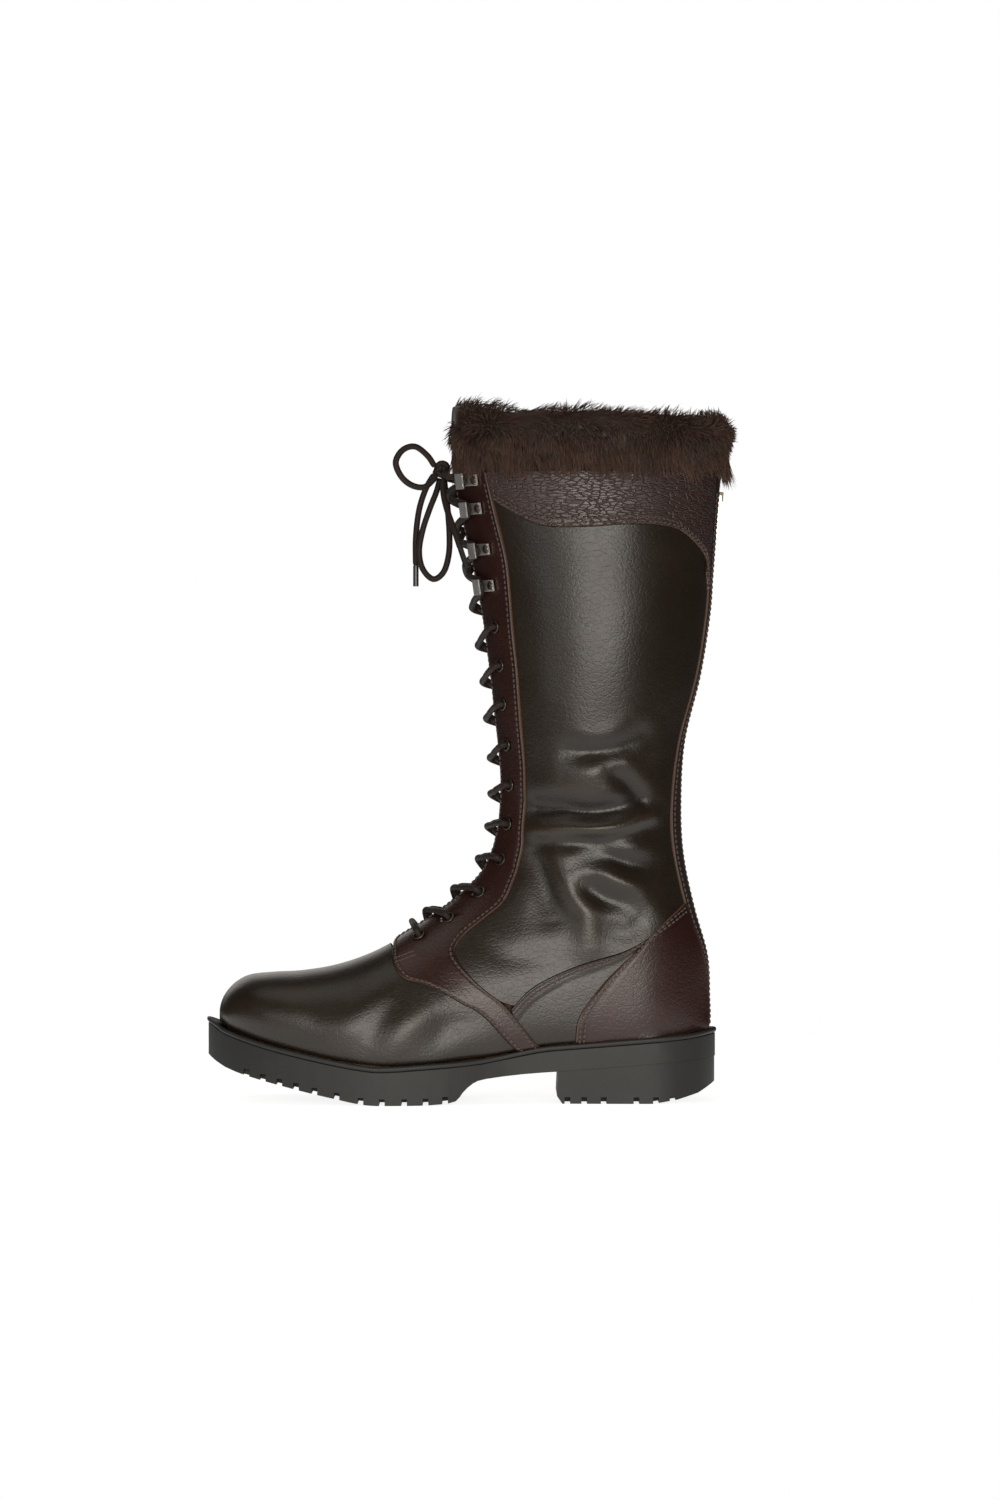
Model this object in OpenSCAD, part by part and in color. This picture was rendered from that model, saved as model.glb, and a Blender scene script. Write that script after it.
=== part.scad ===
// Tall laced leather country boot, left foot: toe towards -X, outer side -Y, sole on Z = 0.

/* [Boot] */
// Overall scale of the last, sole and panels
boot_scale = 1; // [0.95:0.01:1.05]
// Thickness of the upper leather
leather_t = 2; // [1.6:0.1:2.2]
// How far a raised panel stands out from the plain leather
raised_t = 1.4; // [1:0.1:1.5]
// Thickness of the fleece lining
lining_t = 3.4; // [2.6:0.2:3.6]
// Distance from the middle of the front to each lace facing's edge
facing_gap = 9; // [8:0.5:10]

/* [Sole] */
// Thickness of the rubber welt lip
welt_t = 3; // [2.6:0.2:3.2]
// Depth of the tread notches
tread_depth = 3.7; // [3:0.1:4]
// Width of the tread notches
tread_gap = 3.2; // [2.6:0.1:3.4]
// Thickness of the insole board
board_t = 2.4; // [2:0.2:2.6]
// Thickness of the fleece footbed
footbed_t = 4.6; // [4:0.2:5]

/* [Lacing] */
// Diameter of the lace
lace_d = 3.6; // [3.2:0.1:3.8]
// Outer diameter of the eyelets
eyelet_od = 7.6; // [7:0.2:8]
// Bore of the eyelets
eyelet_bore = 4.8; // [4.6:0.1:5]

/* [Rear zip] */
// Width of the slider
slider_w = 8.4; // [7.6:0.2:8.6]
// Length of the slider
slider_l = 11; // [9:0.5:12]
// Length of the pull tab
pull_l = 24; // [18:1:28]

/* [Hidden] */

LATERAL = -1;
MEDIAL = 1;
olive = [0.26, 0.22, 0.16];
red_brown = [0.30, 0.17, 0.13];
rubber = [0.22, 0.22, 0.20];
fleece = [0.33, 0.25, 0.19];
gunmetal = [0.25, 0.25, 0.26];
silver = [0.75, 0.75, 0.74];

// Sections of the upper from the toe to the top of the cuff. Each lies in a plane through its
// front and back points: [front x, front z, back x, back z, half width, half width at the back
// edge, centre y, where it is widest, squareness].
ROWS = [
    [-143, 47, -141, 43.4, 12, 10, 4, 0.5, 0.8],
    [-142.5, 54, -136, 41.2, 25, 21, 3.5, 0.6, 0.8],
    [-139.5, 61, -128, 38.2, 33, 29, 3, 0.66, 0.8],
    [-133.5, 67.5, -118, 35.2, 39, 35, 2, 0.7, 0.8],
    [-125.5, 71.5, -105, 31.9, 43.5, 40, 1, 0.7, 0.8],
    [-112, 73, -88, 28.2, 46.5, 44, -0.5, 0.7, 0.8],
    [-95, 74, -70, 24.6, 48.5, 46, -1.5, 0.7, 0.82],
    [-75, 77.5, -48, 22.2, 48.5, 46, -3.5, 0.7, 0.84],
    [-54, 85, -24, 23.2, 46, 42, -5, 0.68, 0.86],
    [-33, 97, 6, 26, 42, 34, -4.5, 0.62, 0.9],
    [-12, 112, 40, 32.2, 39, 30.5, -3, 0.58, 0.94],
    [5, 129, 75, 35.2, 38, 32.5, -1.5, 0.55, 0.97],
    [12, 143, 104, 37.7, 38, 32.5, -0.5, 0.54, 1],
    [14.2, 152, 122, 39.6, 38, 25, 0, 0.52, 1],
    [15.6, 160, 132.5, 41.4, 38, 12, 0, 0.51, 1],
    [16.3, 167, 135.6, 42.9, 38, 0, 0, 0.5, 1],
    [16.8, 175, 136, 58, 38, 0, 0, 0.5, 1],
    [17, 184, 135, 82, 38, 0, 0, 0.5, 1],
    [16.6, 194, 128, 108, 38.5, 0, 0, 0.5, 1],
    [15.6, 207, 121.8, 138, 39.5, 0, 0, 0.5, 1],
    [14, 222, 120, 168, 42, 0, 0, 0.5, 1],
    [12.5, 238, 122, 205, 45.5, 0, 0, 0.5, 1],
    [10.2, 256, 131, 243, 48.5, 0, 0, 0.5, 1],
    [7.5, 276, 136.4, 277, 50, 0, 0, 0.5, 1],
    [3, 300, 138.2, 300, 50.8, 0, 0, 0.5, 1],
    [-2, 322, 139.9, 322, 51.3, 0, 0, 0.5, 1],
    [-7, 345, 141.7, 345, 51.8, 0, 0, 0.5, 1],
    [-10, 362, 143.1, 362, 52, 0, 0, 0.5, 1],
    [-11.5, 382, 144.6, 382, 53, 0, 0, 0.5, 1],
    [-12, 402, 146.2, 402, 53, 0, 0, 0.5, 1]];
LAST = len(ROWS) - 1;
HEEL_ROW = 12;

// Catmull-Rom curve through a list, at the real index s
function item(list, i) = list[max(0, min(len(list) - 1, i))];
function cubic(p0, p1, p2, p3, t) =
    0.5 * (2 * p1 + (p2 - p0) * t + (2 * p0 - 5 * p1 + 4 * p2 - p3) * t * t
    + (3 * p1 - p0 - 3 * p2 + p3) * t * t * t);
function along(list, s) =
    let (i = min(floor(s), len(list) - 2))
    cubic(item(list, i - 1), item(list, i), item(list, i + 1), item(list, i + 2), s - i);
function smooth(list, steps) =
    [for (k = [0 : (len(list) - 1) * steps]) along(list, k / steps)];
function resample(list, n) = [for (k = [0 : n]) along(list, k * (len(list) - 1) / n)];
function sums(list, i = 0, total = 0) =
    i == len(list) ? [] : concat([total + list[i]], sums(list, i + 1, total + list[i]));
// The point at each share of the curve's length
function at_shares(list, shares) =
    let (p = smooth(list, 6), steps = [for (i = [1 : len(p) - 1]) norm(p[i] - p[i - 1])],
        run = concat([0], sums(steps)), last = len(run) - 1,
        xs = [for (i = [0 : last]) [run[i], p[i][0]]], zs = [for (i = [0 : last]) [run[i], p[i][1]]])
    [for (t = shares) [lookup(t * run[last], xs), lookup(t * run[last], zs)]];
function length_of(list) =
    let (p = smooth(list, 6)) sum([for (i = [1 : len(p) - 1]) norm(p[i] - p[i - 1])]);
function sum(list) = list * [for (v = list) 1];

// Surface of the last: s counts the sections, a runs 0 at the front to 180 at the back,
// negative on the lateral side
function skin(s, a) =
    let (r = along(ROWS, s), b = abs(a), back_half = max(0, r[5]),
        h = b <= 90 ? r[7] * (1 - cos(b)) : r[7] - (1 - r[7]) * cos(b),
        round_in = pow(max(0, sin(b)), r[8]),
        y = b <= 90 ? r[4] * round_in : back_half + (r[4] - back_half) * round_in)
    boot_scale * [r[0] + (r[2] - r[0]) * h, r[6] + sign(a) * y, r[1] + (r[3] - r[1]) * h];
function normal_at(s, a) =
    let (most = 180 - min(25, max(0, along(ROWS, s)[5])), b = max(-most, min(most, a)),
        ds = skin(min(LAST, s + 0.1), b) - skin(max(0, s - 0.1), b),
        da = skin(s, min(180, b + 2)) - skin(s, max(-180, b - 2)),
        n = cross(ds, da))
    n / norm(n);
function off(s, a, d) = skin(s, a) + d * normal_at(s, a);

// Places on the skin named in side view, as [s, a] with a positive
function root(f, low, high, k = 16) =
    k == 0 ? (low + high) / 2 :
    f((low + high) / 2) > 0 ? root(f, (low + high) / 2, high, k - 1) :
    root(f, low, (low + high) / 2, k - 1);
function angle_of(h, widest) =
    h <= widest ? acos(1 - max(0, h) / widest) : acos(max(-1, (widest - h) / (1 - widest)));
function at(x, z) =
    let (s = root(function (s) let (r = along(ROWS, s))
            (r[2] - r[0]) * (z - r[1]) - (r[3] - r[1]) * (x - r[0]), 0, LAST),
        r = along(ROWS, s), d = [r[2] - r[0], r[3] - r[1]],
        h = ((x - r[0]) * d[0] + (z - r[1]) * d[1]) / (d * d))
    [s, angle_of(h, r[7])];
function front(z, half) =
    let (s = root(function (s) z - along(ROWS, s)[1], 0, LAST), r = along(ROWS, s))
    [s, asin(pow(half / r[4], 1 / r[8]))];
function back_angle(s, half) =
    let (r = along(ROWS, s), yb = max(0, r[5]))
    half <= yb ? 180 : 180 - asin(pow((half - yb) / (r[4] - yb), 1 / r[8]));
function back(z, half) =
    let (s = root(function (s) z - skin(s, back_angle(s, half))[2] / boot_scale, HEEL_ROW, LAST))
    [s, back_angle(s, half)];
function on_welt(x) = [root(function (s) x - along(ROWS, s)[2], 0, HEEL_ROW + 3), 180];

// Closed solid between two offsets of a grid of [s, a] places
module shell(grid, low, high) {
    n = len(grid);
    m = len(grid[0]);
    top = [for (r = grid) for (c = r) off(c[0], c[1], high)];
    bottom = [for (r = grid) for (c = r) off(c[0], c[1], low)];
    e1 = grid[1][0] - grid[0][0];
    e2 = grid[0][1] - grid[0][0];
    turned = e1[0] * e2[1] - e1[1] * e2[0] < 0;
    function quad(p, q, r, s) = turned ? [[p, q, r], [p, r, s]] : [[p, r, q], [p, s, r]];
    lift = n * m;
    faces = [
        for (i = [0 : n - 2]) for (j = [0 : m - 2])
            let (p = i * m + j)
            each concat(quad(p, p + 1, p + m + 1, p + m),
                quad(lift + p, lift + p + m, lift + p + m + 1, lift + p + 1)),
        for (j = [0 : m - 2])
            let (q = (n - 1) * m + j)
            each concat(quad(j, lift + j, lift + j + 1, j + 1),
                quad(q, q + 1, lift + q + 1, lift + q)),
        for (i = [0 : n - 2])
            let (p = i * m, q = i * m + m - 1)
            each concat(quad(p, p + m, lift + p + m, lift + p),
                quad(q, lift + q, lift + q + m, q + m))];
    polyhedron(concat(top, bottom), faces);
}

function mix(p, q, t) = p + (q - p) * t;
function to_side(grid, side) = [for (r = grid) [for (c = r) [c[0], side * c[1]]]];
// Grid filling the space between four edges, each given as places on the skin. The filling is
// done in side view and each point is put back on the skin.
function side_view(places) =
    [for (p = places) let (q = skin(p[0], p[1])) [q[0], q[2]] / boot_scale];
function fill(low, high, left, right, n, m, gap = 0.25) =
    let (lo = side_view(low), hi = side_view(high), le = side_view(left), ri = side_view(right),
        ev = gap / min(length_of(le), length_of(ri)), eu = gap / min(length_of(lo), length_of(hi)),
        vs = [for (i = [0 : n]) ev + (1 - 2 * ev) * i / n],
        us = [for (j = [0 : m]) eu + (1 - 2 * eu) * j / m],
        l = at_shares(le, vs), r = at_shares(ri, vs), b = at_shares(lo, us), t = at_shares(hi, us),
        a = lo[0], c = lo[len(lo) - 1], d = hi[0], e = hi[len(hi) - 1])
    [for (i = [0 : n]) let (v = vs[i]) [for (j = [0 : m])
        let (u = us[j], p = mix(l[i], r[i], u) + mix(b[j], t[j], v)
            - mix(mix(a, c, u), mix(d, e, u), v))
        at(p[0], p[1])]];
// Grid along ribs, each a pair of places
function ribbon(ribs, n, m, e = 0.01) =
    [for (r = resample(ribs, n))
        [for (j = [0 : m]) mix(r[0], r[1], e + (1 - 2 * e) * j / m)]];

// Facing edge and the seams of the panels
function facing(z) = front(z, facing_gap * min(1, 0.45 + (z - 88) / 60));
SHAFT_TOP = 357;
EYESTAY = [
    [facing(SHAFT_TOP), at(9.8, SHAFT_TOP)], [facing(336), at(14.6, 336)],
    [facing(307), at(21.5, 307)], [facing(270), at(24.9, 270)],
    [facing(234), at(28.3, 234)], [facing(196), at(31.6, 194)],
    [facing(165), at(31.8, 170)], [facing(141), at(30.8, 150)],
    [facing(122), at(27, 130)], [facing(108), at(20, 114.5)],
    [facing(99), at(9.5, 105.4)], [facing(92), at(-1, 97)],
    [at(-43.4, 87), at(-7, 90)], [at(-42.6, 78.5), at(-8, 84.5)],
    [at(-37, 71.4), at(-3.6, 77.2)], [at(-25, 68), at(5, 67.8)],
    [at(-9, 60), at(17, 58.6)], [at(9.6, 48.5), at(28, 46.5)],
    [on_welt(28), on_welt(40)]];
WING_TOP = 12;
WING_FRONT = smooth([for (i = [WING_TOP : len(EYESTAY) - 1]) EYESTAY[i][0]], 4);
VAMP_EDGE = concat([[0, WING_FRONT[0][0]]], [for (p = WING_FRONT) [p[1], p[0]]]);
SEAM_GAP = 0.02;
function vamp_end(a) = lookup(abs(a), VAMP_EDGE) - SEAM_GAP;

function strip_half(z) =
    lookup(z, [[40, 12], [56, 10], [74, 12], [86, 15], [98, 17.5], [150, 18.5], [176, 18.5],
        [196, 16], [216, 14], [250, 12.5], [300, 13], [SHAFT_TOP, 15]]);
function strip_edge(z) = back(z, strip_half(z));
ZIP_EDGE = 5.6;
STRIP_FOOT = 41.8;
STRIP = [for (z = [STRIP_FOOT, 50, 60, 72, 86, 100, 114, 132, 150, 170, 190, 210, 230, 250, 270, 290,
    310, 330, SHAFT_TOP]) [back(z, ZIP_EDGE), strip_edge(z)]];

ANKLE_SEAM = [for (p = [[26, 55.5], [34, 64.4], [46.6, 71.8], [64.6, 79.2], [86.8, 85.8],
    [102, 94]]) at(p[0], p[1])];
ANKLE_SEAM_END = [at(102, 94), at(111, 103), strip_edge(113)];
HEEL_SEAM = concat([on_welt(60)], [for (p = [[61.4, 47], [67.8, 58], [78.4, 71], [91, 83],
    [102, 94]]) at(p[0], p[1])]);
COLLAR_SEAM = concat([at(14, 341), at(27, 332.5), at(43, 326), at(68, 325.5), at(90, 327),
    at(112, 326), at(123, 321.5)], [back(310, 19), back(299, 15.5), strip_edge(290)]);

// Front edge of the quarter panel, along the eyestay from the ankle seam to the collar
QUARTER_FRONT = concat([at(26, 55.5)], [at(17, 58.6), at(5, 67.8), at(-3.6, 77.2), at(-8, 84.5),
    at(-7, 90), at(-1, 97), at(9.5, 105.4), at(20, 114.5), at(27, 130), at(30.8, 150),
    at(31.8, 170), at(31.6, 194), at(28.3, 234), at(24.9, 270), at(21.5, 307), at(14, 341)]);
QUARTER_BACK = [for (z = [113, 132, 150, 170, 190, 210, 230, 250, 270, 290]) strip_edge(z)];

// Plain leather lies 0 to leather_t under the skin, linings and stiffeners under that
STIFFENER = [-leather_t - 1.15, -leather_t - 0.55];
LINING = [-leather_t - 1.6 - lining_t, -leather_t - 1.6];
UNDER_LACE = -leather_t - 2.9;
TONGUE = [UNDER_LACE - 4, UNDER_LACE - 2];
TONGUE_LINING = [UNDER_LACE - 8.2, UNDER_LACE - 5];

module vamp() {
    grid = [for (i = [0 : 16]) [for (j = [-14 : 14])
        let (a = j * 180 / 14) [vamp_end(a) * i / 16, a]]];
    color(olive) shell(grid, -leather_t, 0);
}

module toe_puff() {
    grid = [for (i = [0 : 6]) [for (j = [-9 : 9]) [0.25 + i * 3.6 / 6, j * 168 / 9]]];
    color("tan") shell(grid, STIFFENER[0], STIFFENER[1]);
}

module vamp_lining() {
    grid = [for (i = [0 : 12]) [for (j = [-12 : 12])
        let (a = j * 176 / 12) [0.4 + (vamp_end(a) - 0.45) * i / 12, a]]];
    color(fleece) shell(grid, LINING[0], LINING[1]);
}

ANKLE_EDGE = concat(ANKLE_SEAM, [ANKLE_SEAM_END[1], ANKLE_SEAM_END[2]]);
module quarter(side) {
    grid = fill(ANKLE_EDGE, COLLAR_SEAM, QUARTER_FRONT, QUARTER_BACK, 26, 12);
    color(olive) shell(to_side(grid, side), -leather_t, 0);
}

module lower_quarter(side) {
    grid = fill([on_welt(40), on_welt(50), on_welt(60)], ANKLE_SEAM,
        [on_welt(40), at(34, 40), at(26, 55.5)], HEEL_SEAM, 8, 10);
    color(olive) shell(to_side(grid, side), -leather_t, 0);
}

module heel_cover(side) {
    foot = [on_welt(60), on_welt(82), on_welt(104), on_welt(120), strip_edge(STRIP_FOOT)];
    back_edge = [for (z = [STRIP_FOOT, 50, 60, 72, 86, 100, 113]) strip_edge(z)];
    grid = fill(foot, ANKLE_SEAM_END, HEEL_SEAM, back_edge, 12, 18);
    color(red_brown) shell(to_side(grid, side), -leather_t, raised_t);
}

// Each half of the stiffener stops beside the zip tape
STIFFENER_EDGE = 10.5;
module heel_stiffener() {
    color("tan")
        for (side = [LATERAL, MEDIAL]) {
            grid = fill([on_welt(84), on_welt(104), on_welt(120), back(46, STIFFENER_EDGE)],
                [at(88, 76), at(104, 84), at(118, 92), back(96, STIFFENER_EDGE)],
                [on_welt(84), at(84, 56), at(88, 76)],
                [for (z = [46, 70, 96]) back(z, STIFFENER_EDGE)], 8, 12);
            shell(to_side(grid, side), STIFFENER[0], STIFFENER[1]);
        }
}

module collar(side) {
    rim = [at(9.8, SHAFT_TOP), at(30, SHAFT_TOP), at(68, SHAFT_TOP), at(105, SHAFT_TOP),
        strip_edge(SHAFT_TOP)];
    grid = fill(COLLAR_SEAM, rim, [at(14, 341), at(9.8, SHAFT_TOP)],
        [strip_edge(290), strip_edge(312), strip_edge(335), strip_edge(SHAFT_TOP)], 3, 18);
    color(red_brown) shell(to_side(grid, side), -leather_t, raised_t);
}

module back_strip(side) {
    color(red_brown) shell(to_side(ribbon(STRIP, 24, 2), side), -leather_t, raised_t);
}

// Each half of the lining stops beside the zip tape
module shaft_lining(side) {
    first = 46;
    last = 165;
    grid = [for (i = [0 : 16]) [for (j = [0 : 15])
        let (a = first + j * (last - first) / 15, low = max(vamp_end(a) + 0.1, 8.8))
        [low + (26.6 - low) * i / 16, a]]];
    color(fleece) shell(to_side(grid, side), LINING[0], LINING[1]);
}

module tongue() {
    grid = [for (i = [0 : 22]) [for (j = [-3 : 3]) [8.62 + i * 18.7 / 22, j * 13]]];
    color(olive) shell(grid, TONGUE[0], TONGUE[1]);
}

module tongue_lining() {
    grid = [for (i = [0 : 22]) [for (j = [-3 : 3]) [8.9 + i * 18.9 / 22, j * 12.5]]];
    color(fleece) shell(grid, TONGUE_LINING[0], TONGUE_LINING[1]);
}

// Rounded roll of fleece round the top: a closed ring section carried round the mouth
module fur_cuff(side) {
    sides = 12;
    first = 14;
    last = 178.4;
    steps = 18;
    rings = [for (i = [0 : steps]) [for (k = [0 : sides - 1])
        let (t = k * 360 / sides) off(27.93 + 1.04 * cos(t),
            side * (first + (last - first) * i / steps), 5.2 * sin(t))]];
    color(fleece) loft(rings, side > 0);
}

// Solid through closed rings of points
module loft(rings, turned = false) {
    m = len(rings[0]);
    n = len(rings);
    function tri(p, q, r) = turned ? [p, r, q] : [p, q, r];
    polyhedron([for (r = rings) each r], concat(
        [for (i = [0 : n - 2]) for (j = [0 : m - 1])
            let (a = i * m + j, b = i * m + (j + 1) % m)
            each [tri(a, b, b + m), tri(a, b + m, a + m)]],
        [for (j = [1 : m - 2]) each [tri(0, j + 1, j),
            tri((n - 1) * m, (n - 1) * m + j, (n - 1) * m + j + 1)]]));
}

// Round tube along a list of points, its section carried along without twist
function unit(v) = v / norm(v);
function tangent(p, i) = unit(item(p, i + 1) - item(p, i - 1));
function carry(v, t) = unit(v - (v * t) * t);
function sweep_frames(p, i = 0, last = [0, 0, 0]) =
    i == len(p) ? [] :
    let (t = tangent(p, i), start = abs(t[1]) < 0.8 ? [0, 1, 0] : [1, 0, 0],
        u = carry(i == 0 ? start : last, t))
    concat([[u, cross(t, u)]], sweep_frames(p, i + 1, u));
module tube(points, d, sides = 8) {
    frames = sweep_frames(points);
    loft([for (i = [0 : len(points) - 1]) [for (k = [0 : sides - 1])
        let (t = k * 360 / sides)
        points[i] + d / 2 * (cos(t) * frames[i][0] + sin(t) * frames[i][1])]]);
}

// Sole: outline in plan and lines in side view
SOLE_OUTLINE = [[-149.3, 6], [-145, -13], [-131, -30], [-108, -43], [-75, -52], [-45, -54.5],
    [-12, -49], [20, -39], [50, -36], [80, -37.5], [108, -37], [127, -28], [137, -14], [140.4, 0],
    [137, 14], [127, 28], [106, 36.5], [78, 34.5], [50, 32], [20, 32], [-15, 38.5], [-45, 47],
    [-70, 50], [-98, 48], [-122, 40], [-139, 26]];
WELT_LINE = [[-160, 52], [-144.6, 44.9], [-138.7, 41.3], [-117.6, 34.5], [-96.4, 29.3],
    [-75, 24.8], [-59.4, 22.2], [-48.8, 21.4], [-27.6, 22.6], [6, 25.4], [39.2, 31.6],
    [57.2, 33.3], [89, 35.9], [120.7, 38.6], [137.6, 41], [150, 42.5]];
SOLE_LINE = [[-160, 34], [-149.3, 26.3], [-138.7, 20], [-124, 15.2], [-105, 10.4], [-89, 6.6],
    [-74, 3.4], [-62, 0.9], [-52, 0], [-40, 0], [-28, 0], [-16, 0.6], [-7.5, 2.2], [-3.5, 7],
    [2.2, 12], [9.6, 14.4], [30.7, 16.8], [48, 18]];
HEEL_LINE = [[50, 18.1], [90, 21.3], [150, 26.2]];

function closed(list, steps) =
    let (n = len(list))
    [for (i = [0 : n - 1]) for (k = [0 : steps - 1])
        cubic(list[(i + n - 1) % n], list[i], list[(i + 1) % n], list[(i + 2) % n], k / steps)];
function raised(line, dz) = [for (p = line) [p[0], p[1] + dz]];
function reversed(list) = [for (i = [len(list) - 1 : -1 : 0]) list[i]];

module sole_plan(inset) {
    scale(boot_scale)
        if (inset > 0)
            offset(delta = -inset) polygon(closed(SOLE_OUTLINE, 3));
        else
            polygon(closed(SOLE_OUTLINE, 3));
}
// Solid of a side-view outline, as wide as the sole and more
module side_block(outline) {
    rotate([90, 0, 0])
        linear_extrude(height = 140, center = true) scale(boot_scale) polygon(outline);
}
module sole_layer(inset, low, high) {
    line = smooth(WELT_LINE, 2);
    intersection() {
        linear_extrude(height = 90) sole_plan(inset);
        side_block(concat(raised(line, low), reversed(raised(line, high))));
    }
}

HEEL_BREAST = 50.2;
notch_xs = [-126, -116.5, -107, -97.5, -87, -74.5, -61, -49, -36.5, -24.5, -13.5];
heel_notch_xs = [55.5, 65, 76, 94.5, 105.5, 115];
module side_notches(xs, bottom, inner) {
    for (x = xs)
        for (side = [LATERAL, MEDIAL])
            scale(boot_scale)
                translate([x - tread_gap / 2, side > 0 ? inner : -inner - 60, bottom(x)])
                    cube([tread_gap, 60, tread_depth + 20]);
}
function sole_z(x) = lookup(x, SOLE_LINE);

module outsole() {
    top = raised(smooth(WELT_LINE, 2), -welt_t - 0.05);
    low = concat(smooth(SOLE_LINE, 2), HEEL_LINE);
    color(rubber)
        difference() {
            intersection() {
                linear_extrude(height = 90) sole_plan(0);
                side_block(concat(low, reversed(top)));
            }
            side_notches(notch_xs, function (x) sole_z(x) - 20, 24);
            tread_grooves();
        }
}
// Cross grooves between the side lugs and the middle of the tread
module tread_grooves() {
    for (x = notch_xs)
        if (x < -24)
            scale(boot_scale)
                translate([x + 3.2, -15, sole_z(x) - 20]) cube([tread_gap, 30, tread_depth + 20]);
}

module heel_block() {
    outline = [[HEEL_BREAST - 0.6, 4.3], [52.6, 0], [104, 0], [118, 2.2], [130, 5.6], [139, 10.6],
        [150, 16], [150, 26.1], [90, 21.2], [HEEL_BREAST, 18]];
    color(rubber)
        difference() {
            intersection() {
                linear_extrude(height = 40) sole_plan(0.4);
                side_block(outline);
            }
            side_notches(heel_notch_xs, function (x) -20, 17);
            scale(boot_scale)
                translate([84, 0, -1]) cylinder(h = tread_depth + 1, d = 12, $fn = 48);
        }
}

module welt() {
    color(rubber)
        difference() {
            sole_layer(0, -welt_t, 0);
            linear_extrude(height = 90) sole_plan(10);
        }
}

SHANK_X = [-20, 90];
SHANK_W = 16;
module shank() {
    line = [for (p = smooth(WELT_LINE, 2)) if (p[0] > SHANK_X[0] - 12 && p[0] < SHANK_X[1] + 12) p];
    color("silver")
        intersection() {
            side_block(concat(raised(line, -2.3), reversed(raised(line, -0.9))));
            scale(boot_scale)
                translate([SHANK_X[0], -SHANK_W / 2, 0]) cube([SHANK_X[1] - SHANK_X[0], SHANK_W, 60]);
        }
}

module cork_filler() {
    color("peru")
        difference() {
            sole_layer(10.3, -welt_t + 0.05, -0.1);
            scale(boot_scale)
                translate([SHANK_X[0] - 1, -SHANK_W / 2 - 0.4, 0])
                    cube([SHANK_X[1] - SHANK_X[0] + 2, SHANK_W + 0.8, 60]);
        }
}

BOARD_INSET = 13.5;
module insole_board() {
    color("tan") sole_layer(BOARD_INSET, 0.1, 0.1 + board_t);
}
module footbed() {
    color(fleece)
        sole_layer(BOARD_INSET + 0.6, 0.3 + board_t, 0.3 + board_t + footbed_t);
}

// Eyelets and hooks, each placed on the skin
EYELETS = [for (p = [[-28, 94], [-11.4, 103.8], [6.2, 118.4], [18.4, 137.2], [22.4, 157.8],
    [23.7, 180], [22, 203], [20, 226], [18.4, 248], [15.6, 270]]) at(p[0], p[1])];
HOOKS = [for (p = [[10.4, 293.4], [7.4, 314], [2.6, 337], [0.2, 353]]) at(p[0], p[1])];
hook_back = 6.5;

module on_skin(place, side) {
    n = normal_at(place[0], side * place[1]);
    toward = skin(place[0], side * (place[1] + 2)) - skin(place[0], side * (place[1] - 2));
    t = unit(toward - (toward * n) * n);
    b = cross(n, t);
    p = skin(place[0], side * place[1]);
    multmatrix([[t[0], b[0], n[0], p[0]], [t[1], b[1], n[1], p[1]], [t[2], b[2], n[2], p[2]],
        [0, 0, 0, 1]]) children();
}

FACING_HOLE = 6;
module eyestay(side) {
    color(red_brown)
        difference() {
            shell(to_side(ribbon(EYESTAY, 38, 6), side), -leather_t, raised_t);
            for (p = EYELETS)
                on_skin(p, side) cylinder(h = 12, d = FACING_HOLE, center = true, $fn = 24);
            for (p = HOOKS)
                on_skin(p, side)
                    translate([hook_back, 0, 0]) cylinder(h = 12, d = 3, center = true, $fn = 24);
        }
}

module eyelets(side) {
    top = raised_t + 0.2;
    foot = -leather_t - 0.5;
    color(gunmetal)
        for (p = EYELETS)
            on_skin(p, side)
                rotate_extrude($fn = 32)
                    polygon([[eyelet_bore / 2, foot - 0.3], [eyelet_od / 2 - 0.3, foot - 0.3],
                        [eyelet_od / 2 - 0.3, foot], [FACING_HOLE / 2 - 0.1, foot],
                        [FACING_HOLE / 2 - 0.1, top], [eyelet_od / 2, top],
                        [eyelet_od / 2 - 0.2, top + 0.4], [eyelet_bore / 2 + 0.5, top + 0.6],
                        [eyelet_bore / 2, top + 0.3]]);
}

HOOK_T = 0.9;
HOOK_H = 6.4;
module hooks(side) {
    base = raised_t + 0.15;
    color(silver)
        for (p = HOOKS)
            on_skin(p, side)
                translate([0, 0, base])
                    difference() {
                        union() {
                            translate([-3.4, -3.2, 0]) cube([hook_back + 6.2, 6.4, HOOK_T]);
                            translate([-3.4, -1.3, 0]) cube([HOOK_T, 2.6, HOOK_H]);
                            translate([-3.4, -4.4, HOOK_H - HOOK_T]) cube([6.6, 8.8, HOOK_T]);
                        }
                        translate([hook_back, 0, -1]) cylinder(h = 3, d = 3, $fn = 24);
                    }
}

module hook_rivets() {
    base = raised_t + 0.15 + HOOK_T;
    foot = -leather_t - 1.1;
    color(silver)
        for (side = [LATERAL, MEDIAL])
            for (p = HOOKS)
                on_skin(p, side)
                    translate([hook_back, 0, 0])
                        rotate_extrude($fn = 32)
                            polygon([[0, foot - 0.6], [2.4, foot - 0.6], [2.4, foot], [1.4, foot],
                                [1.4, base + 0.05], [2.6, base + 0.05], [2.2, base + 0.6],
                                [0, base + 0.8]]);
}

// Lace: it comes over one facing into an eyelet, turns under it and crosses to the other side
OVER_LACE = raised_t + 0.85 + lace_d / 2;
function near(place, to_edge, ds) =
    let (s = place[0] + ds, r = along(ROWS, s),
        half = facing_gap * min(1, 0.45 + (r[1] - 88) / 60),
        edge = asin(pow(half / r[4], 1 / r[8])))
    [s, place[1] + (edge - place[1]) * to_edge];
function lace_point(place, side, d) = off(place[0], side * place[1], d);
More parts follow.
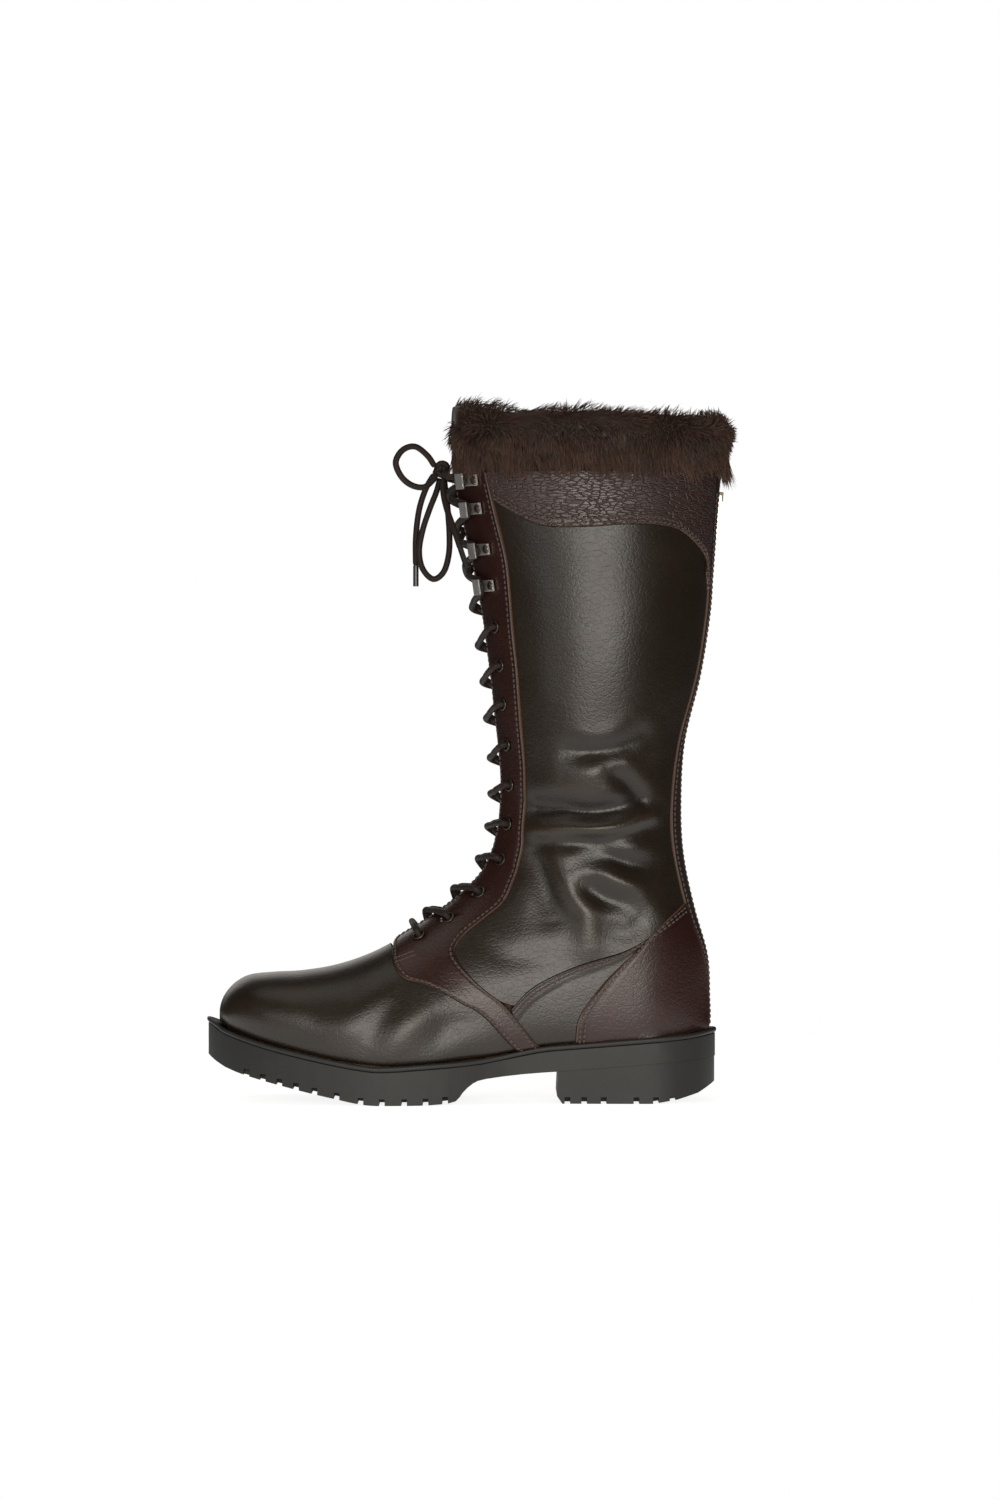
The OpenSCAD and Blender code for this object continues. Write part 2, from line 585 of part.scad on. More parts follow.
// Turn through an eyelet, from the outside strand below to the inside strand above
function through(i, side, down, up) = [
    for (k = [[1.1, down * 0.34, OVER_LACE], [0.5, down * 0.15, OVER_LACE],
            [0.13, down * 0.03, OVER_LACE + 0.1], [0.04, 0, OVER_LACE - 1.7], [0, 0, -0.4],
            [0.04, 0, UNDER_LACE + 1.7], [0.13, up * 0.03, UNDER_LACE - 0.05],
            [0.5, up * 0.12, UNDER_LACE], [1.15, up * 0.3, UNDER_LACE + 0.6]])
        lace_point(near(EYELETS[i], k[0], k[1]), side, k[2])];
function crossing(s, d) = [off(s, 0, d)];
function spacing(i) = EYELETS[i + 1][0] - EYELETS[i][0];
COUNT = len(EYELETS);
HIGH_CROSS = OVER_LACE + 0.6;
LOW_CROSS = HIGH_CROSS - lace_d - 0.25;
function step_up(i) = i < COUNT - 1 ? spacing(i) : HOOKS[0][0] - EYELETS[COUNT - 1][0];
// Turn behind a hook's neck
function round_hook(i, side) =
    let (down = i == 0 ? step_up(COUNT - 1) : HOOKS[i][0] - HOOKS[i - 1][0], d = OVER_LACE + 0.6)
    [for (k = [[1.1, -down * 0.34], [0.5, -down * 0.22], [0.1, -down * 0.15], [-0.06, 0],
            [0.1, down * 0.15], [0.5, down * 0.22], [1.1, down * 0.3]])
        lace_point(near(HOOKS[i], k[0], k[1]), side, d)];
function half_lace(first) = [
    for (i = [1 : COUNT - 1])
        let (side = i % 2 == 0 ? first : -first)
        each concat(crossing(mix(EYELETS[i - 1][0], EYELETS[i][0], 0.5),
                side > 0 ? LOW_CROSS : HIGH_CROSS),
            through(i, side, -spacing(i - 1), step_up(i))),
    for (i = [0 : len(HOOKS) - 1])
        let (side = (i + COUNT) % 2 == 0 ? first : -first,
            below = i == 0 ? EYELETS[COUNT - 1] : HOOKS[i - 1])
        each concat(crossing(mix(below[0], HOOKS[i][0], 0.5), side > 0 ? LOW_CROSS : HIGH_CROSS),
            round_hook(i, side))];
function bar_turn(side) = through(0, side, 0, spacing(0));
KNOT = [-15.6, 0, 360.5];
module lacing() {
    lateral_half = concat(bar_turn(LATERAL), half_lace(LATERAL));
    medial_half = concat(bar_turn(MEDIAL), half_lace(MEDIAL));
    start = crossing(EYELETS[0][0], OVER_LACE + 0.3);
    color("saddlebrown")
        tube(concat([boot_scale * (KNOT + [1, -4.2, 0.8])], reversed(lateral_half), start,
            medial_half, [boot_scale * (KNOT + [1, 4.2, 0.8])]), lace_d, 7);
}

module lace_knot() {
    color("saddlebrown")
        translate(boot_scale * KNOT)
            rotate([90, 0, 0])
                rotate_extrude($fn = 32)
                    polygon([[0, -4], [3, -4], [4.6, -2.6], [5.2, 0], [4.6, 2.6], [3, 4], [0, 4]]);
}

// The free ends: two loops and two tails, each along points chosen by hand
LOOP_SHORT = [[-20, -3, 362], [-24, -5, 368], [-31, -8, 373], [-38, -10, 371], [-42, -11, 364],
    [-39, -10, 356], [-33, -8, 351], [-26, -6, 350], [-21, -4, 354], [-19.2, -2.6, 357]];
LOOP_LONG = [[-17, 3.4, 355.4], [-19, 5, 348], [-23, 7, 338], [-27, 9, 326], [-29, 10, 314],
    [-27, 10, 304], [-21, 9, 298], [-15, 8, 302], [-12, 7, 312], [-11.6, 6, 324],
    [-12.6, 5, 338], [-14, 3, 350], [-14.6, 2, 354.8]];
TAIL_LONG = [[-20.4, 2.4, 357.6], [-25, 7, 350], [-29, 11, 338], [-31, 14, 322], [-31, 15, 306]];
TAIL_SHORT = [[-14.9, -3.4, 355], [-15, -8, 347], [-13, -14.5, 337.5], [-9, -20.5, 326],
    [-5, -25, 314]];
AGLET_L = 12;
function run_of(route) = [for (p = smooth(route, 3)) boot_scale * p];
function out_of(route) = unit(route[len(route) - 1] - route[len(route) - 2]);

module lace_bow() {
    color("saddlebrown") {
        tube(run_of(LOOP_SHORT), lace_d);
        tube(run_of(LOOP_LONG), lace_d);
    }
}
module lace_tails() {
    color("saddlebrown") {
        tube(run_of(TAIL_LONG), lace_d);
        tube(run_of(TAIL_SHORT), lace_d);
    }
}
module aglets() {
    color("dimgray")
        for (route = [TAIL_LONG, TAIL_SHORT]) {
            end = boot_scale * route[len(route) - 1];
            d = out_of(route);
            translate(end)
                rotate([0, acos(d[2]), atan2(d[1], d[0])])
                    cylinder(h = AGLET_L, d = lace_d - 0.4, $fn = 24);
        }
}

// Rear zip, along the middle of the back
ZIP_FOOT = 62;
TEETH_TOP = SHAFT_TOP - 1;
function zip_ribs(inner, outer, low, high) =
    [for (k = [0 : 12]) let (z = low + (high - low) * k / 12) [back(z, inner), back(z, outer)]];
TAPE = [-leather_t - 1.1, -leather_t - 0.3];
module zip_tape(side) {
    color("black")
        shell(to_side(ribbon(zip_ribs(1.2, 9, ZIP_FOOT - 4, SHAFT_TOP), 22, 1), side),
            TAPE[0], TAPE[1]);
}
module zip_teeth(side) {
    color(gunmetal)
        shell(to_side(ribbon(zip_ribs(1.05, 3, ZIP_FOOT, TEETH_TOP), 22, 1, 0), side),
            TAPE[1] + 0.05, TAPE[1] + 1.3);
}

// The slider travels along the straight upper stretch of the back line
ZIP_TOP = [141.7, 0, 345];
ZIP_LEAN = atan((143.1 - 138.2) / (362 - 300));
module on_zip() {
    translate(boot_scale * ZIP_TOP) rotate([0, ZIP_LEAN, 0]) children();
}
TEETH_FACE = TAPE[1] + 1.3;
module zip_stop() {
    color(gunmetal)
        on_skin(back(ZIP_FOOT - 4.4, 0.01), MEDIAL)
            translate([-3.6, -2, TAPE[1] + 0.1]) cube([7.2, 4, 1.2]);
}
LUG_H = 2;
module zip_slider() {
    face = TEETH_FACE + 0.2;
    under = TAPE[0] - 0.8;
    color(gunmetal)
        on_zip() {
            translate([face, -slider_w / 2, -slider_l / 2]) cube([1.2, slider_w, slider_l]);
            translate([under - 1.2, -slider_w / 2, -slider_l / 2])
                cube([1.2, slider_w, slider_l]);
            translate([under - 0.6, -0.7, slider_l / 2 - 3.4]) cube([face - under + 1.2, 1.4, 3.4]);
            difference() {
                translate([face + 1, -1.4, -2.6]) cube([LUG_H + 1.2, 2.8, 5.2]);
                translate([face + LUG_H + 0.5, 0, 0])
                    rotate([90, 0, 0]) cylinder(h = 6, d = 1.8, center = true, $fn = 24);
            }
        }
}
module zip_pull() {
    pin_x = TEETH_FACE + 0.2 + LUG_H + 0.5;
    color(silver)
        on_zip()
            translate([pin_x, 0, 0]) {
                rotate([90, 0, 0]) cylinder(h = 6.4, d = 1.5, center = true, $fn = 24);
                for (y = [-3.2, 1.8])
                    translate([-0.75, y, -6]) cube([1.5, 1.4, 6]);
                translate([-0.75, -3.2, -pull_l]) cube([1.5, 6.4, pull_l - 5.6]);
            }
}

outsole();
heel_block();
welt();
cork_filler();
shank();
insole_board();
footbed();
vamp();
toe_puff();
vamp_lining();
quarter(LATERAL);  // quarter_lateral
quarter(MEDIAL);  // quarter_medial
lower_quarter(LATERAL);  // lower_quarter_lateral
lower_quarter(MEDIAL);  // lower_quarter_medial
heel_cover(LATERAL);  // heel_cover_lateral
heel_cover(MEDIAL);  // heel_cover_medial
heel_stiffener();
eyestay(LATERAL);  // eyestay_lateral
eyestay(MEDIAL);  // eyestay_medial
collar(LATERAL);  // collar_lateral
collar(MEDIAL);  // collar_medial
back_strip(LATERAL);  // back_strip_lateral
back_strip(MEDIAL);  // back_strip_medial
shaft_lining(LATERAL);  // shaft_lining_lateral
shaft_lining(MEDIAL);  // shaft_lining_medial
tongue();
tongue_lining();
fur_cuff(LATERAL);  // fur_cuff_lateral
fur_cuff(MEDIAL);  // fur_cuff_medial
eyelets(LATERAL);  // eyelets_lateral
eyelets(MEDIAL);  // eyelets_medial
hooks(LATERAL);  // hooks_lateral
hooks(MEDIAL);  // hooks_medial
hook_rivets();
zip_tape(LATERAL);  // zip_tape_lateral
zip_tape(MEDIAL);  // zip_tape_medial
zip_teeth(LATERAL);  // zip_teeth_lateral
zip_teeth(MEDIAL);  // zip_teeth_medial
zip_stop();
zip_slider();
zip_pull();
lacing();
lace_knot();
lace_bow();
lace_tails();
aglets();
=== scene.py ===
"""Looks of a tall laced country boot, built over its CAD frame as a set of operators."""
import math

import bmesh
import bpy
import numpy as np
from bpy.props import FloatProperty, FloatVectorProperty, IntProperty, PointerProperty
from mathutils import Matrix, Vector


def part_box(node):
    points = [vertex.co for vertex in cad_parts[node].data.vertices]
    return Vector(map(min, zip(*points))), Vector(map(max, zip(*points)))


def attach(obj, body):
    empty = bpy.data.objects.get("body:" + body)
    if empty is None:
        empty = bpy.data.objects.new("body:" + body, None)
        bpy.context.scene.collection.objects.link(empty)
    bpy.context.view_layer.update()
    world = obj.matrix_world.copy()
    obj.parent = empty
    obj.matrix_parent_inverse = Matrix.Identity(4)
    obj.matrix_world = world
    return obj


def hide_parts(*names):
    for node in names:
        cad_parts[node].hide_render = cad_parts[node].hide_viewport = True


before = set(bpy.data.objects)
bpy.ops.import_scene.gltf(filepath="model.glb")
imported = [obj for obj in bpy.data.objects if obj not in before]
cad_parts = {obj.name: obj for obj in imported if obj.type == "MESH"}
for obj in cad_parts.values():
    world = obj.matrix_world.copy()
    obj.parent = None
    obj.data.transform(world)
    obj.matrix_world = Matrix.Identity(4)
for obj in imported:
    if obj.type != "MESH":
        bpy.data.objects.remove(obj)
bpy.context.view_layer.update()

bl_info = {
    "name": "Laced country boot",
    "version": (1, 0, 0),
    "blender": (4, 5, 0),
    "location": "View3D > Sidebar > Boot",
    "description": "Leather, fleece, laces, zip and sole of a tall laced boot",
    "category": "Add Mesh",
}

MM = 0.001
BODY = "boot"
LATERAL, MEDIAL = -1, 1
SIDES = {"lateral": LATERAL, "medial": MEDIAL}


# ---------------------------------------------------------------- the last, in millimetres

# Sections of the upper from toe to cuff: front x, front z, back x, back z, half width,
# half width at the back edge, centre y, where it is widest, squareness
ROWS = np.array([
    [-143, 47, -141, 43.4, 12, 10, 4, 0.5, 0.8],
    [-142.5, 54, -136, 41.2, 25, 21, 3.5, 0.6, 0.8],
    [-139.5, 61, -128, 38.2, 33, 29, 3, 0.66, 0.8],
    [-133.5, 67.5, -118, 35.2, 39, 35, 2, 0.7, 0.8],
    [-125.5, 71.5, -105, 31.9, 43.5, 40, 1, 0.7, 0.8],
    [-112, 73, -88, 28.2, 46.5, 44, -0.5, 0.7, 0.8],
    [-95, 74, -70, 24.6, 48.5, 46, -1.5, 0.7, 0.82],
    [-75, 77.5, -48, 22.2, 48.5, 46, -3.5, 0.7, 0.84],
    [-54, 85, -24, 23.2, 46, 42, -5, 0.68, 0.86],
    [-33, 97, 6, 26, 42, 34, -4.5, 0.62, 0.9],
    [-12, 112, 40, 32.2, 39, 30.5, -3, 0.58, 0.94],
    [5, 129, 75, 35.2, 38, 32.5, -1.5, 0.55, 0.97],
    [12, 143, 104, 37.7, 38, 31.5, -0.5, 0.54, 1],
    [14.2, 152, 122, 39.6, 38, 23, 0, 0.52, 1],
    [15.6, 160, 132.5, 41.4, 38, 13.5, 0, 0.51, 1],
    [16.3, 167, 135.6, 42.9, 38, 5.5, 0, 0.5, 1],
    [16.8, 175, 136, 58, 38, 0.5, 0, 0.5, 1],
    [17, 184, 135, 82, 38, 0, 0, 0.5, 1],
    [16.6, 194, 128, 108, 38.5, 0, 0, 0.5, 1],
    [15.6, 207, 121.8, 138, 39.5, 0, 0, 0.5, 1],
    [14, 222, 120, 168, 42, 0, 0, 0.5, 1],
    [12.5, 238, 122, 205, 45.5, 0, 0, 0.5, 1],
    [10.2, 256, 131, 243, 48.5, 0, 0, 0.5, 1],
    [7.5, 276, 136.4, 277, 50, 0, 0, 0.5, 1],
    [3, 300, 138.2, 300, 50.8, 0, 0, 0.5, 1],
    [-2, 322, 139.9, 322, 51.3, 0, 0, 0.5, 1],
    [-7, 345, 141.7, 345, 51.8, 0, 0, 0.5, 1],
    [-10, 362, 143.1, 362, 52, 0, 0, 0.5, 1],
    [-11.5, 382, 144.6, 382, 53, 0, 0, 0.5, 1],
    [-12, 402, 146.2, 402, 53, 0, 0, 0.5, 1]])
LAST = len(ROWS) - 1
HEEL_ROW = 12
# Squareness behind the widest line, where the heel is fuller than the front
REAR = ROWS[:, 8].copy()
REAR[HEEL_ROW:HEEL_ROW + 7] = (0.95, 0.9, 0.84, 0.77, 0.80, 0.88, 0.96)
ROWS = np.concatenate([ROWS, REAR[:, None]], 1)
SHAFT_TOP = 357.0


def along(points, s):
    """Catmull-Rom curve through points, at the real index s."""
    points, s = np.asarray(points, float), np.asarray(s, float)
    i = np.clip(np.floor(s).astype(int), 0, len(points) - 2)
    t = (s - i)[..., None]
    p = [points[np.clip(i + k, 0, len(points) - 1)] for k in (-1, 0, 1, 2)]
    return 0.5 * (2 * p[1] + (p[2] - p[0]) * t + (2 * p[0] - 5 * p[1] + 4 * p[2] - p[3]) * t * t
                  + (3 * p[1] - p[0] - 3 * p[2] + p[3]) * t ** 3)


def skin(s, a):
    """Point of the last: s counts sections, a is 0 at the front to 180 at the back."""
    s, a = np.broadcast_arrays(np.asarray(s, float), np.asarray(a, float))
    r = along(ROWS, s)
    b = np.radians(np.abs(a))
    back_half = np.maximum(0, r[..., 5])
    fore = np.abs(a) <= 90
    depth = np.where(fore, r[..., 7] * (1 - np.cos(b)), r[..., 7] - (1 - r[..., 7]) * np.cos(b))
    k = np.maximum(0, np.sin(b)) ** np.where(fore, r[..., 8], r[..., 9])
    y = np.where(fore, r[..., 4] * k, back_half + (r[..., 4] - back_half) * k)
    return np.stack([r[..., 0] + (r[..., 2] - r[..., 0]) * depth, r[..., 6] + np.sign(a) * y,
                     r[..., 1] + (r[..., 3] - r[..., 1]) * depth], -1)


def unit(v):
    return v / np.maximum(np.linalg.norm(v, axis=-1, keepdims=True), 1e-12)


def normal_at(s, a):
    s, a = np.broadcast_arrays(np.asarray(s, float), np.asarray(a, float))
    most = 180 - np.clip(along(ROWS, s)[..., 5], 0, 25)
    b = np.clip(a, -most, most)
    ds = skin(np.minimum(LAST, s + 0.1), b) - skin(np.maximum(0, s - 0.1), b)
    da = skin(s, np.minimum(180, b + 2)) - skin(s, np.maximum(-180, b - 2))
    return unit(np.cross(ds, da))


def off(s, a, d):
    return skin(s, a) + np.asarray(d)[..., None] * normal_at(s, a)


def root(f, low, high, steps=40):
    """Where the falling function f crosses zero, for numbers or whole arrays."""
    for _ in range(steps):
        middle = (low + high) / 2
        above = f(middle) > 0
        low, high = np.where(above, middle, low), np.where(above, high, middle)
    return (low + high) / 2


def at(x, z):
    """Places [s, a] of points given in side view."""
    x, z = np.asarray(x, float), np.asarray(z, float)

    def miss(s):
        r = along(ROWS, s)
        return (r[..., 2] - r[..., 0]) * (z - r[..., 1]) - (r[..., 3] - r[..., 1]) * (x - r[..., 0])
    s = root(miss, np.zeros_like(x), np.full_like(x, LAST))
    r = along(ROWS, s)
    dx, dz = r[..., 2] - r[..., 0], r[..., 3] - r[..., 1]
    h = np.clip(((x - r[..., 0]) * dx + (z - r[..., 1]) * dz) / (dx * dx + dz * dz), 0, 1)
    w = r[..., 7]
    cosine = np.where(h <= w, 1 - h / w, (w - h) / (1 - w))
    return np.stack([s, np.degrees(np.arccos(np.clip(cosine, -1, 1)))], -1)


def front(z, half):
    s = float(root(lambda s: z - along(ROWS, s)[1], 0.0, float(LAST)))
    r = along(ROWS, s)
    return np.array([s, math.degrees(math.asin((half / r[4]) ** (1 / r[8])))])


def back_angle(s, half):
    r = along(ROWS, s)
    back_half = max(0.0, r[5])
    if half <= back_half:
        return 180.0
    share = (half - back_half) / (r[4] - back_half)
    return 180 - math.degrees(math.asin(share ** (1 / r[9])))


def back(z, half):
    s = float(root(lambda s: z - skin(s, back_angle(float(s), half))[2], float(HEEL_ROW),
                   float(LAST)))
    return np.array([s, back_angle(s, half)])


def on_welt(x):
    return np.array([float(root(lambda s: x - along(ROWS, s)[2], 0.0, HEEL_ROW + 3.0)), 180.0])


def run_length(points):
    steps = np.linalg.norm(np.diff(points, axis=0), axis=1)
    return np.concatenate([[0], np.cumsum(steps)])


def at_shares(points, shares):
    """Points of the smooth curve through points, at shares of its length."""
    fine = along(points, np.linspace(0, len(points) - 1, (len(points) - 1) * 12 + 1))
    run = run_length(fine)
    return np.stack([np.interp(np.asarray(shares) * run[-1], run, fine[:, k])
                     for k in range(fine.shape[1])], -1)


EDGE_LINES = [0, 0.25, 0.6, 1.0, 1.5, 2.0, 2.5, 3.1, 4.0, 5.2]


def shares_of(length, step, gap=0.12):
    """Shares of a span with close lines near both ends, so edges and stitch lines can bend."""
    near = (gap + np.array(EDGE_LINES)) / length
    near = near[near < 0.4]
    middle = np.linspace(near[-1], 1 - near[-1], max(2, int((1 - 2 * near[-1]) * length / step)))
    return np.concatenate([near[:-1], middle, 1 - near[:-1][::-1]])


def fill(low, high, left, right, step=1.4):
    """Dense places filling the space between four edges, worked out in side view."""
    lo, hi, le, ri = (skin(*np.array(e).T)[:, [0, 2]] for e in (low, high, left, right))
    across = min(run_length(lo)[-1], run_length(hi)[-1])
    upward = min(run_length(le)[-1], run_length(ri)[-1])
    longest = max(run_length(le)[-1], run_length(ri)[-1])
    widest = max(run_length(lo)[-1], run_length(hi)[-1])
    u = shares_of(across, step * across / widest)
    v = shares_of(upward, step * upward / longest)
    b, t, l, r = at_shares(lo, u), at_shares(hi, u), at_shares(le, v), at_shares(ri, v)
    u, v = u[None, :, None], v[:, None, None]
    corners = (lo[0] * (1 - u) + lo[-1] * u) * (1 - v) + (hi[0] * (1 - u) + hi[-1] * u) * v
    p = l[:, None] * (1 - u) + r[:, None] * u + b[None] * (1 - v) + t[None] * v - corners
    return at(p[..., 0], p[..., 1])


def ribbon(ribs, across_mm, step=1.6):
    """Dense places along ribs, each a pair of places."""
    ribs = np.array(ribs)
    middle = skin(*((ribs[:, 0] + ribs[:, 1]) / 2).T)
    run = run_length(middle)
    ends = shares_of(run[-1], step)
    index = np.interp(ends * run[-1], run, np.arange(len(ribs)))
    left, right = along(ribs[:, 0], index), along(ribs[:, 1], index)
    u = shares_of(across_mm, step)[None, :, None]
    return left[:, None] * (1 - u) + right[:, None] * u


# ---------------------------------------------------------------- seams of the panels

FACING_GAP = 9.0


def facing(z):
    return front(z, FACING_GAP * min(1, 0.45 + (z - 88) / 60))


def places(points):
    return [at(*p) for p in points]


EYESTAY = [
    (facing(SHAFT_TOP), at(9.8, SHAFT_TOP)), (facing(336), at(14.6, 336)),
    (facing(307), at(21.5, 307)), (facing(270), at(24.9, 270)), (facing(234), at(28.3, 234)),
    (facing(196), at(31.6, 194)), (facing(165), at(31.8, 170)), (facing(141), at(30.8, 150)),
    (facing(122), at(27, 130)), (facing(108), at(20, 114.5)), (facing(99), at(9.5, 105.4)),
    (facing(92), at(-1, 97)), (at(-43.4, 87), at(-7, 90)), (at(-42.6, 78.5), at(-8, 84.5)),
    (at(-37, 71.4), at(-3.6, 77.2)), (at(-25, 68), at(5, 67.8)), (at(-9, 60), at(17, 58.6)),
    (at(9.6, 48.5), at(28, 46.5)), (on_welt(28), on_welt(40))]
WING_TOP = 12
WING_FRONT = np.array([rib[0] for rib in EYESTAY[WING_TOP:]])
WING_FINE = along(WING_FRONT, np.linspace(0, len(WING_FRONT) - 1, 60))


def vamp_end(a):
    """Last section that the vamp reaches at the angle a."""
    return np.interp(np.abs(a), np.concatenate([[0], WING_FINE[:, 1]]),
                     np.concatenate([[WING_FINE[0, 0]], WING_FINE[:, 0]])) - 0.01


STRIP_HALF = [(40, 12), (56, 10), (74, 12), (86, 15), (98, 17.5), (150, 18.5), (176, 18.5),
              (196, 16), (216, 14), (250, 12.5), (300, 13), (SHAFT_TOP, 15)]


def strip_edge(z):
    return back(z, float(np.interp(z, *zip(*STRIP_HALF))))


ZIP_EDGE = 5.6
STRIP_FOOT = 41.8
STRIP = [(back(z, ZIP_EDGE), strip_edge(z)) for z in
         (STRIP_FOOT, 50, 60, 72, 86, 100, 114, 132, 150, 170, 190, 210, 230, 250, 270, 290, 310,
          330, SHAFT_TOP)]
ANKLE_SEAM = places([(26, 55.5), (34, 64.4), (46.6, 71.8), (64.6, 79.2), (86.8, 85.8), (102, 94)])
ANKLE_SEAM_END = [at(102, 94), at(111, 103), strip_edge(113)]
HEEL_SEAM = [on_welt(60)] + places([(61.4, 47), (67.8, 58), (78.4, 71), (91, 83), (102, 94)])
COLLAR_SEAM = places([(14, 341), (27, 332.5), (43, 326), (68, 325.5), (90, 327), (112, 326),
                      (123, 321.5)]) + [back(310, 19), back(299, 15.5), strip_edge(290)]
QUARTER_FRONT = places([(26, 55.5), (17, 58.6), (5, 67.8), (-3.6, 77.2), (-8, 84.5), (-7, 90),
                        (-1, 97), (9.5, 105.4), (20, 114.5), (27, 130), (30.8, 150), (31.8, 170),
                        (31.6, 194), (28.3, 234), (24.9, 270), (21.5, 307), (14, 341)])
QUARTER_BACK = [strip_edge(z) for z in (113, 132, 150, 170, 190, 210, 230, 250, 270, 290)]
EYELETS = places([(-28, 94), (-11.4, 103.8), (6.2, 118.4), (18.4, 137.2), (22.4, 157.8),
                  (23.7, 180), (22, 203), (20, 226), (18.4, 248), (15.6, 270)])
HOOKS = places([(10.4, 293.4), (7.4, 314), (2.6, 337), (0.2, 353)])

# Layers under and over the skin
LEATHER_T, RAISED_T, LINING_T, LACE_D = 2.0, 1.4, 3.4, 3.6
LINING = (-LEATHER_T - 1.6 - LINING_T, -LEATHER_T - 1.6)
UNDER_LACE = -LEATHER_T - 2.9
TONGUE = (UNDER_LACE - 4, UNDER_LACE - 2)
TONGUE_LINING = (UNDER_LACE - 8.2, UNDER_LACE - 5)
OVER_LACE = RAISED_T + 0.85 + LACE_D / 2


# ---------------------------------------------------------------- creases and rolls of the leather

# Each crease or roll: a line in side view, its height in mm (below 0 a crease) and its half width
LATERAL_FOLDS = [
    ([(33, 171), (50, 167), (72, 165), (97, 172)], -3.4, 6.0),
    ([(36, 157), (58, 155), (82, 156), (103, 163)], 2.2, 4.6),
    ([(42, 148), (60, 147), (84, 150), (100, 156)], -1.5, 4.0),
    ([(78, 187), (88, 181), (98, 173)], -2.2, 5.0),
    ([(56, 199), (70, 197), (84, 200), (96, 207)], -2.4, 5.5),
    ([(52, 184), (68, 186), (84, 193)], 1.6, 8.0),
    ([(48, 148), (53, 132), (59, 118), (66, 107), (68, 90)], 2.8, 7.5),
    ([(70, 141), (86, 138), (103, 133)], -2.8, 5.5),
    ([(64, 122), (76, 117), (94, 106)], -1.8, 5.0),
    ([(66, 131), (80, 127), (96, 120)], 1.2, 4.5),
    ([(40, 142), (44, 126), (46, 106)], -2.0, 7.0),
    ([(8, 90), (26, 82), (46, 82)], -0.8, 8.0),
    ([(78, 100), (90, 98), (101, 103)], -1.2, 6.0),
    ([(-92, 42), (-84, 52), (-70, 60)], -0.8, 9.0),
    ([(-58, 34), (-52, 46), (-42, 58)], -1.3, 7.5),
    ([(-42, 30), (-34, 44), (-20, 56)], 1.0, 8.0),
    ([(-20, 34), (-12, 44), (2, 48)], -0.9, 7.0)]
MEDIAL_FOLDS = [
    ([(36, 174), (56, 169), (78, 170), (100, 176)], -2.8, 6.0),
    ([(38, 160), (62, 158), (86, 161), (104, 167)], 2.0, 5.0),
    ([(42, 150), (64, 151), (88, 149), (105, 154)], -1.7, 4.5),
    ([(60, 196), (76, 193), (94, 199)], -2.0, 5.5),
    ([(52, 142), (57, 128), (64, 112), (70, 95)], 2.2, 7.5),
    ([(76, 138), (90, 133), (104, 131)], -2.2, 5.5),
    ([(66, 120), (80, 114), (95, 107)], -1.4, 5.0),
    ([(36, 136), (42, 122), (44, 106)], -1.6, 7.0),
    ([(-70, 36), (-62, 50), (-50, 60)], -1.1, 8.0),
    ([(-40, 32), (-32, 46), (-18, 56)], -1.0, 7.0)]


def line_distance(x, z, line):
    """Distance to a polyline in side view, and how far along it, 0 to 1, the nearest point is."""
    line = np.asarray(line, float)
    run = run_length(line)
    best, share = np.full(x.shape, 1e9), np.zeros(x.shape)
    for p, q, r in zip(line[:-1], line[1:], run):
        d = q - p
        t = np.clip(((x - p[0]) * d[0] + (z - p[1]) * d[1]) / (d @ d), -0.6, 1.6)
        inner = np.clip(t, 0, 1)
        gap = np.hypot(x - p[0] - d[0] * inner, z - p[1] - d[1] * inner)
        closer = gap < best
        best = np.where(closer, gap, best)
        share = np.where(closer, (r + inner * np.linalg.norm(d)) / run[-1], share)
    return best, share


CELLS = 32
LATTICE = np.random.default_rng(7).random((CELLS, CELLS, CELLS))


def noise(points, scale):
    """Smooth value noise, -1 to 1, of points in mm; scale is the feature size in mm."""
    p = points / scale + 100.3
    i = np.floor(p).astype(int)
    f = p - i
    f = f * f * (3 - 2 * f)
    total = 0
    for dx in (0, 1):
        for dy in (0, 1):
            for dz in (0, 1):
                w = (np.where(dx, f[..., 0], 1 - f[..., 0]) * np.where(dy, f[..., 1], 1 - f[..., 1])
                     * np.where(dz, f[..., 2], 1 - f[..., 2]))
                total = total + w * LATTICE[(i[..., 0] + dx) % CELLS, (i[..., 1] + dy) % CELLS,
                                            (i[..., 2] + dz) % CELLS]
    return 2 * total - 1


def folds(points, side):
    """Height in mm of the creases and rolls at points of the upper."""
    x, z = points[..., 0], points[..., 2]
    facing_side = np.clip(side * points[..., 1] / 14, 0, 1)
    warp = 2.0 * noise(points, 20)
    height = np.zeros(x.shape)
    for line, rise, width in LATERAL_FOLDS if side < 0 else MEDIAL_FOLDS:
        fine = along(line, np.linspace(0, len(line) - 1, len(line) * 4))
        gap, share = line_distance(x + warp, z + warp, fine)
        fade = np.clip(np.sin(np.pi * np.clip(0.12 + 0.76 * share, 0, 1)), 0, 1) ** 0.8
        core = np.exp(-(gap / width) ** 2)
        shoulder = 0.22 * np.exp(-((gap - 2.0 * width) / width) ** 2)
        height += rise * fade * (core - shoulder)
    ankle = np.exp(-((z - 150) / 55) ** 2)
    return facing_side * height + (0.25 + 0.45 * ankle) * noise(points, 26) \
        + (0.03 + 0.06 * ankle) * noise(points + 50, 9)


# ---------------------------------------------------------------- lace route, as the CAD has it

HIGH_CROSS = OVER_LACE + 0.6
LOW_CROSS = HIGH_CROSS - LACE_D - 0.25
KNOT = np.array([-15.6, 0, 360.5])
COUNT = len(EYELETS)


